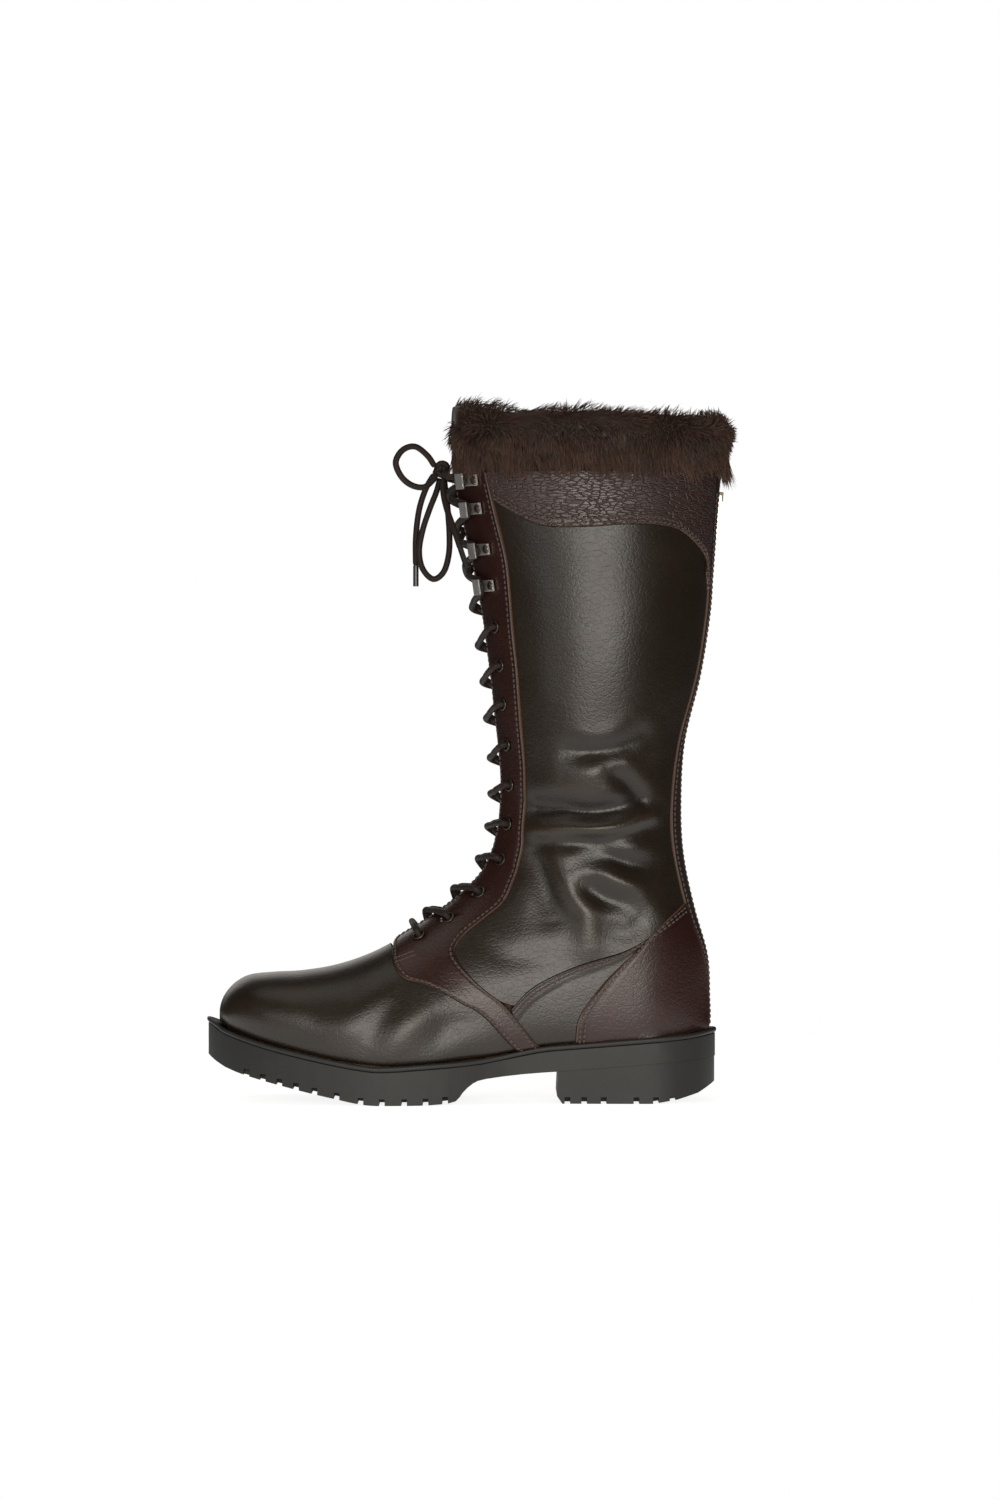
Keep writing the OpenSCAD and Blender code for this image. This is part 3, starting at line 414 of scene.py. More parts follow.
def lace_point(place, to_edge, ds, side, d):
    s = place[0] + ds
    r = along(ROWS, s)
    half = FACING_GAP * min(1, 0.45 + (r[1] - 88) / 60)
    edge = math.degrees(math.asin((half / r[4]) ** (1 / r[8])))
    return off(s, side * (place[1] + (edge - place[1]) * to_edge), d)


def through(i, side, down, up):
    """Turn through an eyelet, from the outside strand below to the inside strand above."""
    steps = [(1.1, down * 0.34, OVER_LACE), (0.5, down * 0.15, OVER_LACE),
             (0.13, down * 0.03, OVER_LACE + 0.1), (0.04, 0, OVER_LACE - 1.7), (0, 0, -0.4),
             (0.04, 0, UNDER_LACE + 1.7), (0.13, up * 0.03, UNDER_LACE - 0.05),
             (0.5, up * 0.12, UNDER_LACE), (1.15, up * 0.3, UNDER_LACE + 0.6)]
    return [lace_point(EYELETS[i], k, ds, side, d) for k, ds, d in steps]


def spacing(i):
    return EYELETS[i + 1][0] - EYELETS[i][0]


def step_up(i):
    return spacing(i) if i < COUNT - 1 else HOOKS[0][0] - EYELETS[-1][0]


def round_hook(i, side):
    down = step_up(COUNT - 1) if i == 0 else HOOKS[i][0] - HOOKS[i - 1][0]
    steps = [(1.1, -down * 0.34), (0.5, -down * 0.22), (0.1, -down * 0.15), (-0.06, 0),
             (0.1, down * 0.15), (0.5, down * 0.22), (1.1, down * 0.3)]
    return [lace_point(HOOKS[i], k, ds, side, OVER_LACE + 0.6) for k, ds in steps]


def half_lace(first):
    route = through(0, first, 0, spacing(0))
    for i in range(1, COUNT):
        side = first if i % 2 == 0 else -first
        s = (EYELETS[i - 1][0] + EYELETS[i][0]) / 2
        route.append(off(s, 0, LOW_CROSS if side > 0 else HIGH_CROSS))
        route += through(i, side, -spacing(i - 1), step_up(i))
    for i in range(len(HOOKS)):
        side = first if (i + COUNT) % 2 == 0 else -first
        below = EYELETS[-1] if i == 0 else HOOKS[i - 1]
        s = (below[0] + HOOKS[i][0]) / 2
        route.append(off(s, 0, LOW_CROSS if side > 0 else HIGH_CROSS))
        route += round_hook(i, side)
    return route


def lacing_route():
    start = off(EYELETS[0][0], 0, OVER_LACE + 0.3)
    return np.array([KNOT + [1, -4.2, 0.8]] + half_lace(LATERAL)[::-1] + [start]
                    + half_lace(MEDIAL) + [KNOT + [1, 4.2, 0.8]])


LOOP_SHORT = [(-20, -3, 362), (-24, -5, 368), (-31, -8, 373), (-38, -10, 371), (-42, -11, 364),
              (-39, -10, 356), (-33, -8, 351), (-26, -6, 350), (-21, -4, 354), (-19.2, -2.6, 357)]
LOOP_LONG = [(-17, 3.4, 355.4), (-19, 5, 348), (-23, 7, 338), (-27, 9, 326), (-29, 10, 314),
             (-27, 10, 304), (-21, 9, 298), (-15, 8, 302), (-12, 7, 312), (-11.6, 6, 324),
             (-12.6, 5, 338), (-14, 3, 350), (-14.6, 2, 354.8)]
TAIL_LONG = [(-20.4, 2.4, 357.6), (-25, 7, 350), (-29, 11, 338), (-31, 14, 322), (-31, 15, 306)]
TAIL_SHORT = [(-14.9, -3.4, 355), (-15, -8, 347), (-13, -14.5, 337.5), (-9, -20.5, 326),
              (-5, -25, 314)]


# ---------------------------------------------------------------- shader expressions

class Value:
    """A shader socket that takes part in sums, each of which adds its Math node."""

    def __init__(self, finish, socket):
        self.finish, self.socket = finish, socket

    def math(self, operation, *terms, clamp=False):
        made = self.finish.node("Math", {"operation": operation, "use_clamp": clamp},
                                dict(enumerate(terms)))
        return Value(self.finish, made.outputs[0])

    def __add__(self, other):
        return self.math("ADD", self, other)

    def __radd__(self, other):
        return self.math("ADD", other, self)

    def __sub__(self, other):
        return self.math("SUBTRACT", self, other)

    def __rsub__(self, other):
        return self.math("SUBTRACT", other, self)

    def __mul__(self, other):
        return self.math("MULTIPLY", self, other)

    def __rmul__(self, other):
        return self.math("MULTIPLY", other, self)

    def __truediv__(self, other):
        return self.math("DIVIDE", self, other)

    def __pow__(self, other):
        return self.math("POWER", self, other)

    def clamp(self):
        return self.math("ADD", self, 0.0, clamp=True)

    def between(self, low, high):
        """0 below low, 1 above high, smooth in between."""
        made = self.finish.node(
            "MapRange", {"interpolation_type": "SMOOTHSTEP"},
            {"Value": self, "From Min": low, "From Max": high, "To Min": 0.0, "To Max": 1.0})
        return Value(self.finish, made.outputs[0])


class Finish:
    """A material and the nodes that make it."""

    def __init__(self, name, **plain):
        self.material = bpy.data.materials.new(name)
        self.material.use_nodes = True
        self.tree = self.material.node_tree
        self.shader = self.tree.nodes["Principled BSDF"]
        for key, value in plain.items():
            self.shader.inputs[key.replace("_", " ").title().replace("Ior", "IOR")] \
                .default_value = value

    def node(self, kind, settings=None, sockets=None):
        made = self.tree.nodes.new("ShaderNode" + kind)
        for key, value in (settings or {}).items():
            setattr(made, key, value)
        for key, value in (sockets or {}).items():
            self.feed(made.inputs[key], value)
        return made

    def feed(self, socket, value):
        if isinstance(value, Value):
            self.tree.links.new(value.socket, socket)
        else:
            socket.default_value = value

    def out(self, kind, settings=None, sockets=None, output=0):
        return Value(self, self.node(kind, settings, sockets).outputs[output])

    def set(self, **inputs):
        names = {"colour": "Base Color", "roughness": "Roughness", "metallic": "Metallic",
                 "coat": "Coat Weight", "normal": "Normal"}
        for key, value in inputs.items():
            self.feed(self.shader.inputs[names[key]], value)
        return self.material

    def place(self, stretch=(1, 1, 1)):
        """Coordinates of the piece itself, in metres."""
        where = self.out("TexCoord", output="Object")
        return self.out("Mapping", None, {"Vector": where, "Scale": stretch})

    def noise(self, scale, detail=3.0, rough=0.55, where=None):
        return self.out("TexNoise", None, {"Vector": where or self.place(), "Scale": scale,
                                           "Detail": detail, "Roughness": rough})

    def cells(self, scale, where=None, feature="F1", smooth=0.4):
        settings = {"feature": feature}
        sockets = {"Vector": where or self.place(), "Scale": scale}
        if feature == "SMOOTH_F1":
            sockets["Smoothness"] = smooth
        return self.out("TexVoronoi", settings, sockets, "Distance")

    def layer(self, name):
        return self.out("Attribute", {"attribute_name": name}, output="Fac")

    def mix(self, share, first, second):
        made = self.node("Mix", {"data_type": "RGBA"}, {0: share})
        self.feed(made.inputs[6], first)
        self.feed(made.inputs[7], second)
        return Value(self, made.outputs[2])

    def bump(self, height, depth, strength=1.0, under=None):
        sockets = {"Height": height, "Distance": depth, "Strength": strength}
        if under is not None:
            sockets["Normal"] = under
        return self.out("Bump", None, sockets)

    def warped(self, scale, amount, stretch=(1, 1, 1)):
        """Coordinates pushed about by noise, so that a pattern on them isn't straight."""
        where = self.place(stretch)
        shift = self.out("TexNoise", None, {"Vector": where, "Scale": scale}, "Color")
        moved = self.out("VectorMath", {"operation": "MULTIPLY_ADD"},
                         {0: shift, 1: (amount, amount, amount), 2: where})
        return moved


def solid(colour):
    return (colour[0], colour[1], colour[2], 1.0)


def shade(colour, times):
    return tuple(min(1.0, c * times) for c in colour[:3]) + (1.0,)


def leather(name, colour, light, edge_colour, roughness=0.36, grain=1.0, roll_lift_and_highlight=0.5):
    """Waxed leather: fine pores, drifting tone, lighter on the rolls where the wax pulls up and
    with a painted highlight, painted shade in the creases and along the stitch rows, darker where
    burnished near the edges, raw along the cut edge.
    """
    f = Finish(name, specular_ior_level=0.5, sheen_weight=0.0)
    drift = f.noise(22, 4, 0.6)
    speckle = f.noise(420, 2, 0.6)
    roll = f.layer("fold")
    # Lighter on the rolls: the wax pulls up there, and a painted highlight on the ridges; drift and
    # speckle are the leather's own tone.
    tone_and_highlight = (roll.between(0.2, 2.2) * roll_lift_and_highlight + (drift - 0.45) * 0.8 + (speckle - 0.5) * 0.35).clamp()
    body = f.mix(tone_and_highlight, solid(colour), solid(light))
    # Painted shade: darker in the creases.
    dark = f.mix((0 - roll).between(0.3, 2.4) * 0.55, body, shade(colour, 0.45))
    edge = f.layer("edge")
    stitch_row_shade = f.layer("seam")
    # Darker where burnished near the cut edges, and painted shade along the stitch rows.
    burnish_and_row_shade = f.mix(((1 - edge.between(0.4, 3.2)) * 0.4 + stitch_row_shade * 0.5).clamp(), dark,
                    shade(colour, 0.4))
    fuzz = f.noise(900, 2, 0.6)
    raw = (1 - edge.between(0.05, 0.45)) * f.layer("cut") * (0.55 + fuzz * 0.6)
    colour_out = f.mix(raw.clamp(), burnish_and_row_shade, solid(edge_colour))
    pores = f.cells(760, f.warped(240, 0.0016), "SMOOTH_F1", 0.5)
    creases = f.cells(210, f.warped(120, 0.004, (1, 1, 1.5)), "DISTANCE_TO_EDGE")
    fine = f.bump(pores, 0.00010 * grain, 0.55)
    broad = f.bump(creases.between(0.0, 0.12), 0.00009 * grain, 0.35, fine)
    rough = roughness + (drift - 0.5) * 0.16 + (speckle - 0.5) * 0.10 + raw * 0.3
    return f.set(colour=colour_out, roughness=rough.clamp(), normal=broad)


def grained(name, colour, light, edge_colour):
    """Tumbled leather with wrinkles drawn out around the shaft, a painted highlight on the raised
    grain and painted shade in the wrinkles.
    """
    f = Finish(name, specular_ior_level=1.0)
    drift = f.noise(26, 4, 0.6)
    where = f.warped(110, 0.006, (0.30, 0.30, 1.0))
    wrinkles = f.cells(640, where, "DISTANCE_TO_EDGE")
    second = f.cells(1100, f.warped(260, 0.003, (0.5, 0.5, 1.0)), "DISTANCE_TO_EDGE")
    raised = wrinkles.between(0.0, 0.14)
    # Lighter on the raised grain: a painted highlight, mixed with the drifting tone.
    body = f.mix((drift * 0.8 + raised * 0.25 - 0.25).clamp(), solid(colour), solid(light))
    edge = f.layer("edge")
    raw = (1 - edge.between(0.05, 0.45)) * f.layer("cut")
    # Painted shade: darker in the wrinkles between the raised grain.
    colour_out = f.mix(((1 - raised) * 0.4).clamp(), f.mix(raw, body, solid(edge_colour)),
                       shade(colour, 0.35))
    coarse = f.bump(raised, 0.00045, 0.9)
    fine = f.bump(second.between(0.0, 0.2), 0.00010, 0.5, coarse)
    rough = 0.42 + (drift - 0.5) * 0.12 + (1 - raised) * 0.2
    return f.set(colour=colour_out, roughness=rough.clamp(), normal=fine)


def rubber(name, colour):
    """Moulded rubber: matt, faintly pitted, dusty where it scuffs."""
    f = Finish(name, specular_ior_level=0.35)
    dust = f.noise(35, 5, 0.65)
    pits = f.noise(1500, 2, 0.5)
    tone = f.mix((dust.between(0.45, 0.8) * 0.5 + (pits - 0.5) * 0.3).clamp(), solid(colour),
                 shade(colour, 1.7))
    rough = 0.52 + (dust - 0.5) * 0.2
    return f.set(colour=tone, roughness=rough.clamp(),
                 normal=f.bump(pits + dust * 0.5, 0.00008, 0.6))


def metal(name, colour, roughness, tarnish=0.3):
    f = Finish(name)
    smear = f.noise(180, 4, 0.6)
    scratch = f.noise(900, 2, 0.5, f.place((0.15, 1, 1)))
    tone = f.mix((smear.between(0.35, 0.75) * tarnish).clamp(), solid(colour), shade(colour, 0.45))
    rough = roughness + (smear - 0.5) * 0.25 + (scratch - 0.5) * 0.15
    return f.set(colour=tone, metallic=0.92 + (smear - 0.5) * 0.1, roughness=rough.clamp(),
                 normal=f.bump(scratch, 0.00003, 0.5))


def thread(name, colour):
    f = Finish(name, sheen_weight=0.2)
    twist = f.noise(2400, 1, 0.5, f.place((1, 1, 0.4)))
    tone = f.mix(twist, shade(colour, 0.6), shade(colour, 1.6))
    return f.set(colour=tone, roughness=0.6 + (twist - 0.5) * 0.2,
                 normal=f.bump(twist, 0.0001, 0.6))


def braid(name, colour):
    """Braided lace: the weave is in the mesh's own layers, its fibres here; painted shade low in
    the weave and a painted highlight on the strands.
    """
    f = Finish(name, sheen_weight=0.05, sheen_roughness=0.5, specular_ior_level=0.3)
    strand = f.layer("strand")
    fibres = f.noise(2600, 2, 0.6)
    # Painted shade between the strands and painted highlight on their crowns, with the fibres' own
    # tone.
    tone = f.mix((strand * 0.7 + (fibres - 0.5) * 0.5).clamp(), shade(colour, 0.42),
                 shade(colour, 1.35))
    return f.set(colour=tone, roughness=0.62 + (fibres - 0.5) * 0.2,
                 normal=f.bump(fibres, 0.00012, 0.6))


def pile(name, colour, tips):
    """Long pile: darker at the roots as painted shade, lighter and warmer at the tips."""
    f = Finish(name, sheen_weight=0.08, sheen_roughness=0.4, specular_ior_level=0.3)
    tip, tone = f.layer("tip"), f.layer("tone")
    patch = f.noise(45, 3, 0.6)
    # Tips take the pile's tip colour; the roots go darker than the root colour as painted shade.
    share = (tip ** 1.4 * (0.35 + tone * 0.75) + (patch - 0.5) * 0.7).clamp()
    strand = f.mix(share, shade(colour, 0.55), solid(tips))
    return f.set(colour=f.mix((1 - tone) * 0.35, strand, shade(colour, 0.8)),
                 roughness=0.55 + (tone - 0.5) * 0.2)


def cloth(name, colour, scale=900, depth=0.0003):
    """Woven or knitted ground with a fine nap, with painted shade in the hollows of the weave and a
    painted highlight on its crowns.
    """
    f = Finish(name, sheen_weight=0.3, sheen_roughness=0.5)
    warp = f.out("TexWave", {"bands_direction": "Z"}, {"Vector": f.place(), "Scale": scale / 6})
    weft = f.out("TexWave", {"bands_direction": "Y"}, {"Vector": f.place(), "Scale": scale / 6})
    nap = f.noise(scale, 3, 0.6)
    weave = (warp + weft) * 0.5
    # Painted shade and highlight that follow the weave, with the nap's own tone.
    tone = f.mix((weave * 0.5 + nap * 0.5).clamp(), shade(colour, 0.55), shade(colour, 1.4))
    return f.set(colour=tone, roughness=0.85 + (nap - 0.5) * 0.15,
                 normal=f.bump(weave + nap, depth, 0.7))


def fleece(name, colour, tips):
    """Short curled fleece, with the tips' colour on the curls and painted shade between them."""
    f = Finish(name, sheen_weight=0.4, sheen_roughness=0.4)
    curls = f.cells(330, f.warped(150, 0.006), "SMOOTH_F1", 0.6)
    nap = f.noise(1400, 3, 0.6)
    # Curl tops take the tips' colour; darker between the curls as painted shade.
    tone = f.mix((1 - curls.between(0.1, 0.7)) * 0.8 + (nap - 0.5) * 0.4, shade(colour, 0.6),
                 solid(tips))
    return f.set(colour=tone, roughness=0.85 + (nap - 0.5) * 0.1,
                 normal=f.bump((1 - curls) + nap * 0.5, 0.0012, 0.8))


FINISHES = {}


def finish(name):
    return FINISHES[name]


def make_finishes(look):
    tan = (0.10, 0.055, 0.032)
    made = {
        "olive_leather": leather("olive_leather", look.leather, look.leather_wear_and_highlight, tan, 0.36,
                                 look.grain),
        "trim_leather": leather("trim_leather", look.trim, look.trim_wear_and_highlight,
                                (0.12, 0.060, 0.035), 0.34, look.grain, 0.6),
        "strip_leather": leather("strip_leather", look.strip, look.leather_wear_and_highlight,
                                 (0.09, 0.045, 0.026), 0.38, look.grain),
        "collar_leather": grained("collar_leather", look.trim, look.trim_wear_and_highlight,
                                  (0.12, 0.06, 0.035)),
        "sole_rubber": rubber("sole_rubber", look.sole),
        "gunmetal": metal("gunmetal", (0.10, 0.085, 0.07), 0.36, 0.5),
        "bright_steel": metal("bright_steel", (0.86, 0.84, 0.80), 0.40, 0.2),
        "seam_thread": thread("seam_thread", look.thread),
        "tack_thread": thread("tack_thread", (0.08, 0.045, 0.035)),
        "lace_braid": braid("lace_braid", look.lace),
        "aglet_tip": metal("aglet_tip", (0.10, 0.10, 0.10), 0.4, 0.3),
        "cuff_pile": pile("cuff_pile", look.fur, look.fur_tips),
        "lining_fleece": fleece("lining_fleece", look.fur, look.fur_tips),
        "zip_cloth": cloth("zip_cloth", (0.02, 0.014, 0.011), 1400, 0.0002),
        "board_fibre": cloth("board_fibre", (0.28, 0.19, 0.11), 500, 0.0002),
        "cork": cloth("cork", (0.30, 0.17, 0.08), 260, 0.0004),
    }
    FINISHES.update(made)


# ---------------------------------------------------------------- meshes

def to_object(name, points, faces, material, body=BODY, layers=None, sharp=50, nodes=()):
    """An object from points in mm, riding on a body and standing for its CAD nodes."""
    mesh = bpy.data.meshes.new(name)
    faces = np.asarray(faces)
    mesh.vertices.add(len(points))
    mesh.vertices.foreach_set("co", (np.asarray(points) * MM).astype(np.float32).ravel())
    sides = faces.shape[1]
    mesh.loops.add(faces.size)
    mesh.loops.foreach_set("vertex_index", faces.astype(np.int32).ravel())
    mesh.polygons.add(len(faces))
    mesh.polygons.foreach_set("loop_start", np.arange(0, faces.size, sides, dtype=np.int32))
    mesh.update(calc_edges=True)
    mesh.validate()
    mesh.shade_smooth()
    if sharp:
        mesh.set_sharp_from_angle(angle=math.radians(sharp))
    for key, values in (layers or {}).items():
        layer = mesh.attributes.new(key, "FLOAT", "POINT")
        layer.data.foreach_set("value", np.asarray(values, np.float32).ravel())
    piece = bpy.data.objects.new(name, mesh)
    bpy.context.collection.objects.link(piece)
    mesh.materials.append(finish(material))
    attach(piece, body)
    if nodes:
        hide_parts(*nodes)
    return piece


def grid_quads(m, n, start=0, flip=False, closed=False):
    i, j = np.meshgrid(np.arange(m - 1), np.arange(n if closed else n - 1), indexing="ij")
    a, b = start + i * n + j, start + i * n + (j + 1) % n
    quads = np.stack([a, b, b + n, a + n], -1).reshape(-1, 4)
    return quads[:, ::-1] if flip else quads


def rim_quads(m, n, flip=False):
    """Quads joining the border of one grid to the same border of the grid after it."""
    ring = np.concatenate([np.arange(n), np.arange(1, m) * n + n - 1,
                           (m - 1) * n + np.arange(n - 2, -1, -1), np.arange(m - 2, 0, -1) * n])
    after, below = np.roll(ring, -1), m * n
    quads = np.stack([ring, ring + below, after + below, after], -1)
    return quads[:, ::-1] if flip else quads


def closed_shell(outer, inner, flip=False):
    m, n = outer.shape[:2]
    points = np.concatenate([outer.reshape(-1, 3), inner.reshape(-1, 3)])
    faces = np.concatenate([grid_quads(m, n, 0, flip), grid_quads(m, n, m * n, not flip),
                            rim_quads(m, n, flip)])
    return points, faces


# Distance from an edge that stands for no edge near
FAR = 20.0


def edge_gaps(points, cut):
    """Distance of each grid point from the cut edges named in cut: bottom, top, left, right."""
    rows = np.linalg.norm(np.diff(points, axis=1), axis=-1)
    columns = np.linalg.norm(np.diff(points, axis=0), axis=-1)
    zero_r, zero_c = np.zeros((points.shape[0], 1)), np.zeros((1, points.shape[1]))
    left = np.concatenate([zero_r, np.cumsum(rows, 1)], 1)
    bottom = np.concatenate([zero_c, np.cumsum(columns, 0)], 0)
    gaps = {"left": left, "right": left[:, -1:] - left, "bottom": bottom,
            "top": bottom[-1:] - bottom}
    chosen = [gaps[k] for k in cut]
    return np.minimum.reduce(chosen) if chosen else np.full(points.shape[:2], FAR)


def calm(points):
    """0 near the eyelets and hooks, where the leather is stayed, to 1 elsewhere."""
    x, z = points[..., 0], points[..., 2]
    rear = np.interp(z, [88, 100, 114, 130, 150, 360], [-8, 2, 16, 24, 28, 26])
    return np.where(z > 84, 0.12 + 0.88 * np.clip((x - rear) / 9, 0, 1), 1)


def hide(points_of, side, s, a, rise):
    """Points of the leather, raised by rise mm, with its creases."""
    base = skin(s, side * a)
    n = normal_at(s, side * a)
    crease = folds(base, side) * calm(base) * points_of
    return base + (crease + rise)[..., None] * n, crease


def edge_round(gap, radius):
    t = np.clip(gap / radius, 0, 1)
    return radius * (np.sqrt(np.maximum(0, 1 - (1 - t) ** 2)) - 1)


def sewn_dip(gap, rows):
    """How far the thread pulls the leather down beside each stitch row."""
    return -sum(0.22 * np.exp(-((gap - r) / 0.75) ** 2) for r in rows)


# Mask along the stitch rows; the leather's finish paints shade along it.
def seam_channel(gap, rows):
    return sum(np.exp(-((gap - r) / 0.7) ** 2) for r in rows) if rows else 0 * gap


def eased(points, rounds):
    """Grid of points relaxed between its fixed edges."""
    out = points.copy()
    for _ in range(rounds):
        out[1:-1, 1:-1] = 0.5 * out[1:-1, 1:-1] + 0.125 * (
            out[:-2, 1:-1] + out[2:, 1:-1] + out[1:-1, :-2] + out[1:-1, 2:])
    return out


# Radius of the hole in the leather under an eyelet
EYELET_HOLE = 2.75


def panel(name, grid, side, material, rise=0.0, cut=(), rows=(), fold=1.0, pits=(),
          bulge=0.0, lip=None, ease=0):
    """A leather panel: cut edges rounded, leather pulled down along the stitch rows."""
    s, a = grid[..., 0], grid[..., 1]
    base = skin(s, side * a)
    gap = edge_gaps(base, cut)
    seam = seam_channel(gap, rows)
    height = np.full(gap.shape, float(rise))
    if rise > 0 and cut:
        height += edge_round(gap, 0.9) + sewn_dip(gap, rows) \
            + bulge * np.clip(gap / 6, 0, 1) ** 0.5
    if lip is not None:
        edge, tall, wide = lip
        near = edge_gaps(base, (edge,))
        height += tall * np.clip(1 - near / wide, 0, 1) ** 0.7 + edge_round(near, 0.7) \
            + sewn_dip(near, rows)
        seam = seam_channel(near, rows)
        gap = np.minimum(gap, near)
    outer, crease = hide(fold, side, s, a, height)
    n = normal_at(s, side * a)
    if ease:
        relaxed = eased(base, ease)
        outer, base = outer + relaxed - base, relaxed
    for centre in pits:
        middle = skin(centre[0], side * centre[1])
        inside = np.linalg.norm(base - middle, axis=-1) < EYELET_HOLE
        outer[inside] = (base + n * (-LEATHER_T + 0.15))[inside]
    inner = base + n * (-LEATHER_T + np.minimum(0, 0.8 * crease))[..., None]
    points, faces = closed_shell(outer, inner, side < 0)
    flat = np.zeros(gap.size)
    layers = {"edge": np.concatenate([gap.ravel(), flat]),
              "fold": np.concatenate([crease.ravel(), flat]),
              "seam": np.concatenate([seam.ravel(), flat]),
              "cut": np.concatenate([flat + (rise > 0), flat + 1])}
    return to_object(name, points, faces, material, layers=layers, nodes=(name,))


def edge_row(grid, side_name, inset):
    """Places of a grid at inset mm from one of its edges."""
    turned = {"left": grid, "right": grid[:, ::-1], "bottom": np.swapaxes(grid, 0, 1),
              "top": np.swapaxes(grid, 0, 1)[:, ::-1]}[side_name]
    points = skin(turned[..., 0], turned[..., 1])
    steps = np.linalg.norm(np.diff(points, axis=1), axis=-1)
    run = np.concatenate([np.zeros((len(steps), 1)), np.cumsum(steps, 1)], 1)
    return np.array([[np.interp(inset, run[i], turned[i, :, k]) for k in (0, 1)]
                     for i in range(len(run))])


def clip_row(row, from_mm=0.0, to_mm=0.0):
    """The row without its first and last lengths."""
    run = run_length(skin(row[:, 0], row[:, 1]))
    keep = np.linspace(from_mm, run[-1] - to_mm, max(4, int(run[-1] / 1.5)))
    return np.stack([np.interp(keep, run, row[:, k]) for k in (0, 1)], -1)


def stitch_frames(row, side, rise, pitch, fold=1.0, lean=0.0):
    """Centre, direction, side and normal of every stitch along a row of places."""
    points, _ = hide(fold, side, row[:, 0], row[:, 1], np.full(len(row), rise))
    run = run_length(points)
    count = max(1, int(run[-1] / pitch))
    middle = (np.arange(count) + 0.5) * run[-1] / count
    pick = lambda values, where: np.stack([np.interp(where, run, values[:, k])
                                           for k in range(values.shape[1])], -1)
    centre = pick(points, middle)
    along_row = unit(pick(points, middle + 0.4) - pick(points, middle - 0.4))
    n = normal_at(pick(row, middle)[:, 0], side * pick(row, middle)[:, 1])
    across = unit(np.cross(n, along_row))
    up = np.cross(along_row, across)
    angle = math.radians(lean)
    t = along_row * math.cos(angle) + across * math.sin(angle)
    return centre, t, np.cross(up, t), up


def capsule(length, width, height):
    """One stitch: a thread that rises out of one hole and goes down the next."""
    rings, sides = 7, 6
    u = np.linspace(-1, 1, rings)
    turn = np.arange(sides) * 2 * math.pi / sides
    taper = np.sqrt(np.clip(1 - (np.abs(u) * 0.97) ** 4, 0.05, 1))
    x = np.repeat(u * length / 2, sides)
    y = (taper[:, None] * np.cos(turn) * width / 2).ravel()
    z = (taper[:, None] * np.sin(turn) * height / 2 + (0.16 * (1 - u ** 2) - 0.12)[:, None]).ravel()
    quads = grid_quads(rings, sides, closed=True)
    return np.stack([x, y, z], -1), quads


def many(template, frames, jitter=0.0, seed=1):
    """Copies of a template at many frames, as one list of points and faces."""
    shape, quads = template
    centre, t, b, n = frames
    if jitter:
        rng = np.random.default_rng(seed)
        t = unit(t + b * rng.normal(0, jitter, (len(t), 1)))
        b = np.cross(n, t)
    points = centre[:, None] + shape[None, :, :1] * t[:, None] + shape[None, :, 1:2] * b[:, None] \
        + shape[None, :, 2:] * n[:, None]
    faces = quads[None] + (np.arange(len(centre)) * len(shape))[:, None, None]
    return points.reshape(-1, 3), faces.reshape(-1, quads.shape[1])


def join(lots):
    points, faces, start = [], [], 0
    for p, f in lots:
        points.append(p)
        faces.append(f + start)
        start += len(p)
    return np.concatenate(points), np.concatenate(faces)


# ---------------------------------------------------------------- the panels' grids

def panel_grids():
    return {
        "eyestay": ribbon(EYESTAY, 26),
        "strip": ribbon(STRIP, 12),
        "quarter": fill(ANKLE_SEAM + ANKLE_SEAM_END[1:], COLLAR_SEAM, QUARTER_FRONT, QUARTER_BACK),
        "lower_quarter": fill([on_welt(37), on_welt(48), on_welt(60)],
                              [at(23.4, 53.6)] + ANKLE_SEAM[1:],
                              [on_welt(37), at(27.5, 43), at(23.4, 53.6)], HEEL_SEAM),
        "heel_cover": fill([on_welt(60), on_welt(82), on_welt(104), on_welt(120),
                            strip_edge(STRIP_FOOT)], ANKLE_SEAM_END, HEEL_SEAM,
                           [strip_edge(z) for z in (STRIP_FOOT, 50, 60, 72, 86, 100, 113)]),
        "collar": fill(COLLAR_SEAM, [at(9.8, SHAFT_TOP), at(30, SHAFT_TOP), at(68, SHAFT_TOP),
                                     at(105, SHAFT_TOP), strip_edge(SHAFT_TOP)],
                       [at(14, 341), at(9.8, SHAFT_TOP)],
                       [strip_edge(z) for z in (290, 312, 335, SHAFT_TOP)]),
    }


GRIDS = {}


# Rings that close the vamp's tip, as shares of the way to its middle
TIP_RINGS = (0.97, 0.7, 0.4, 0.15)


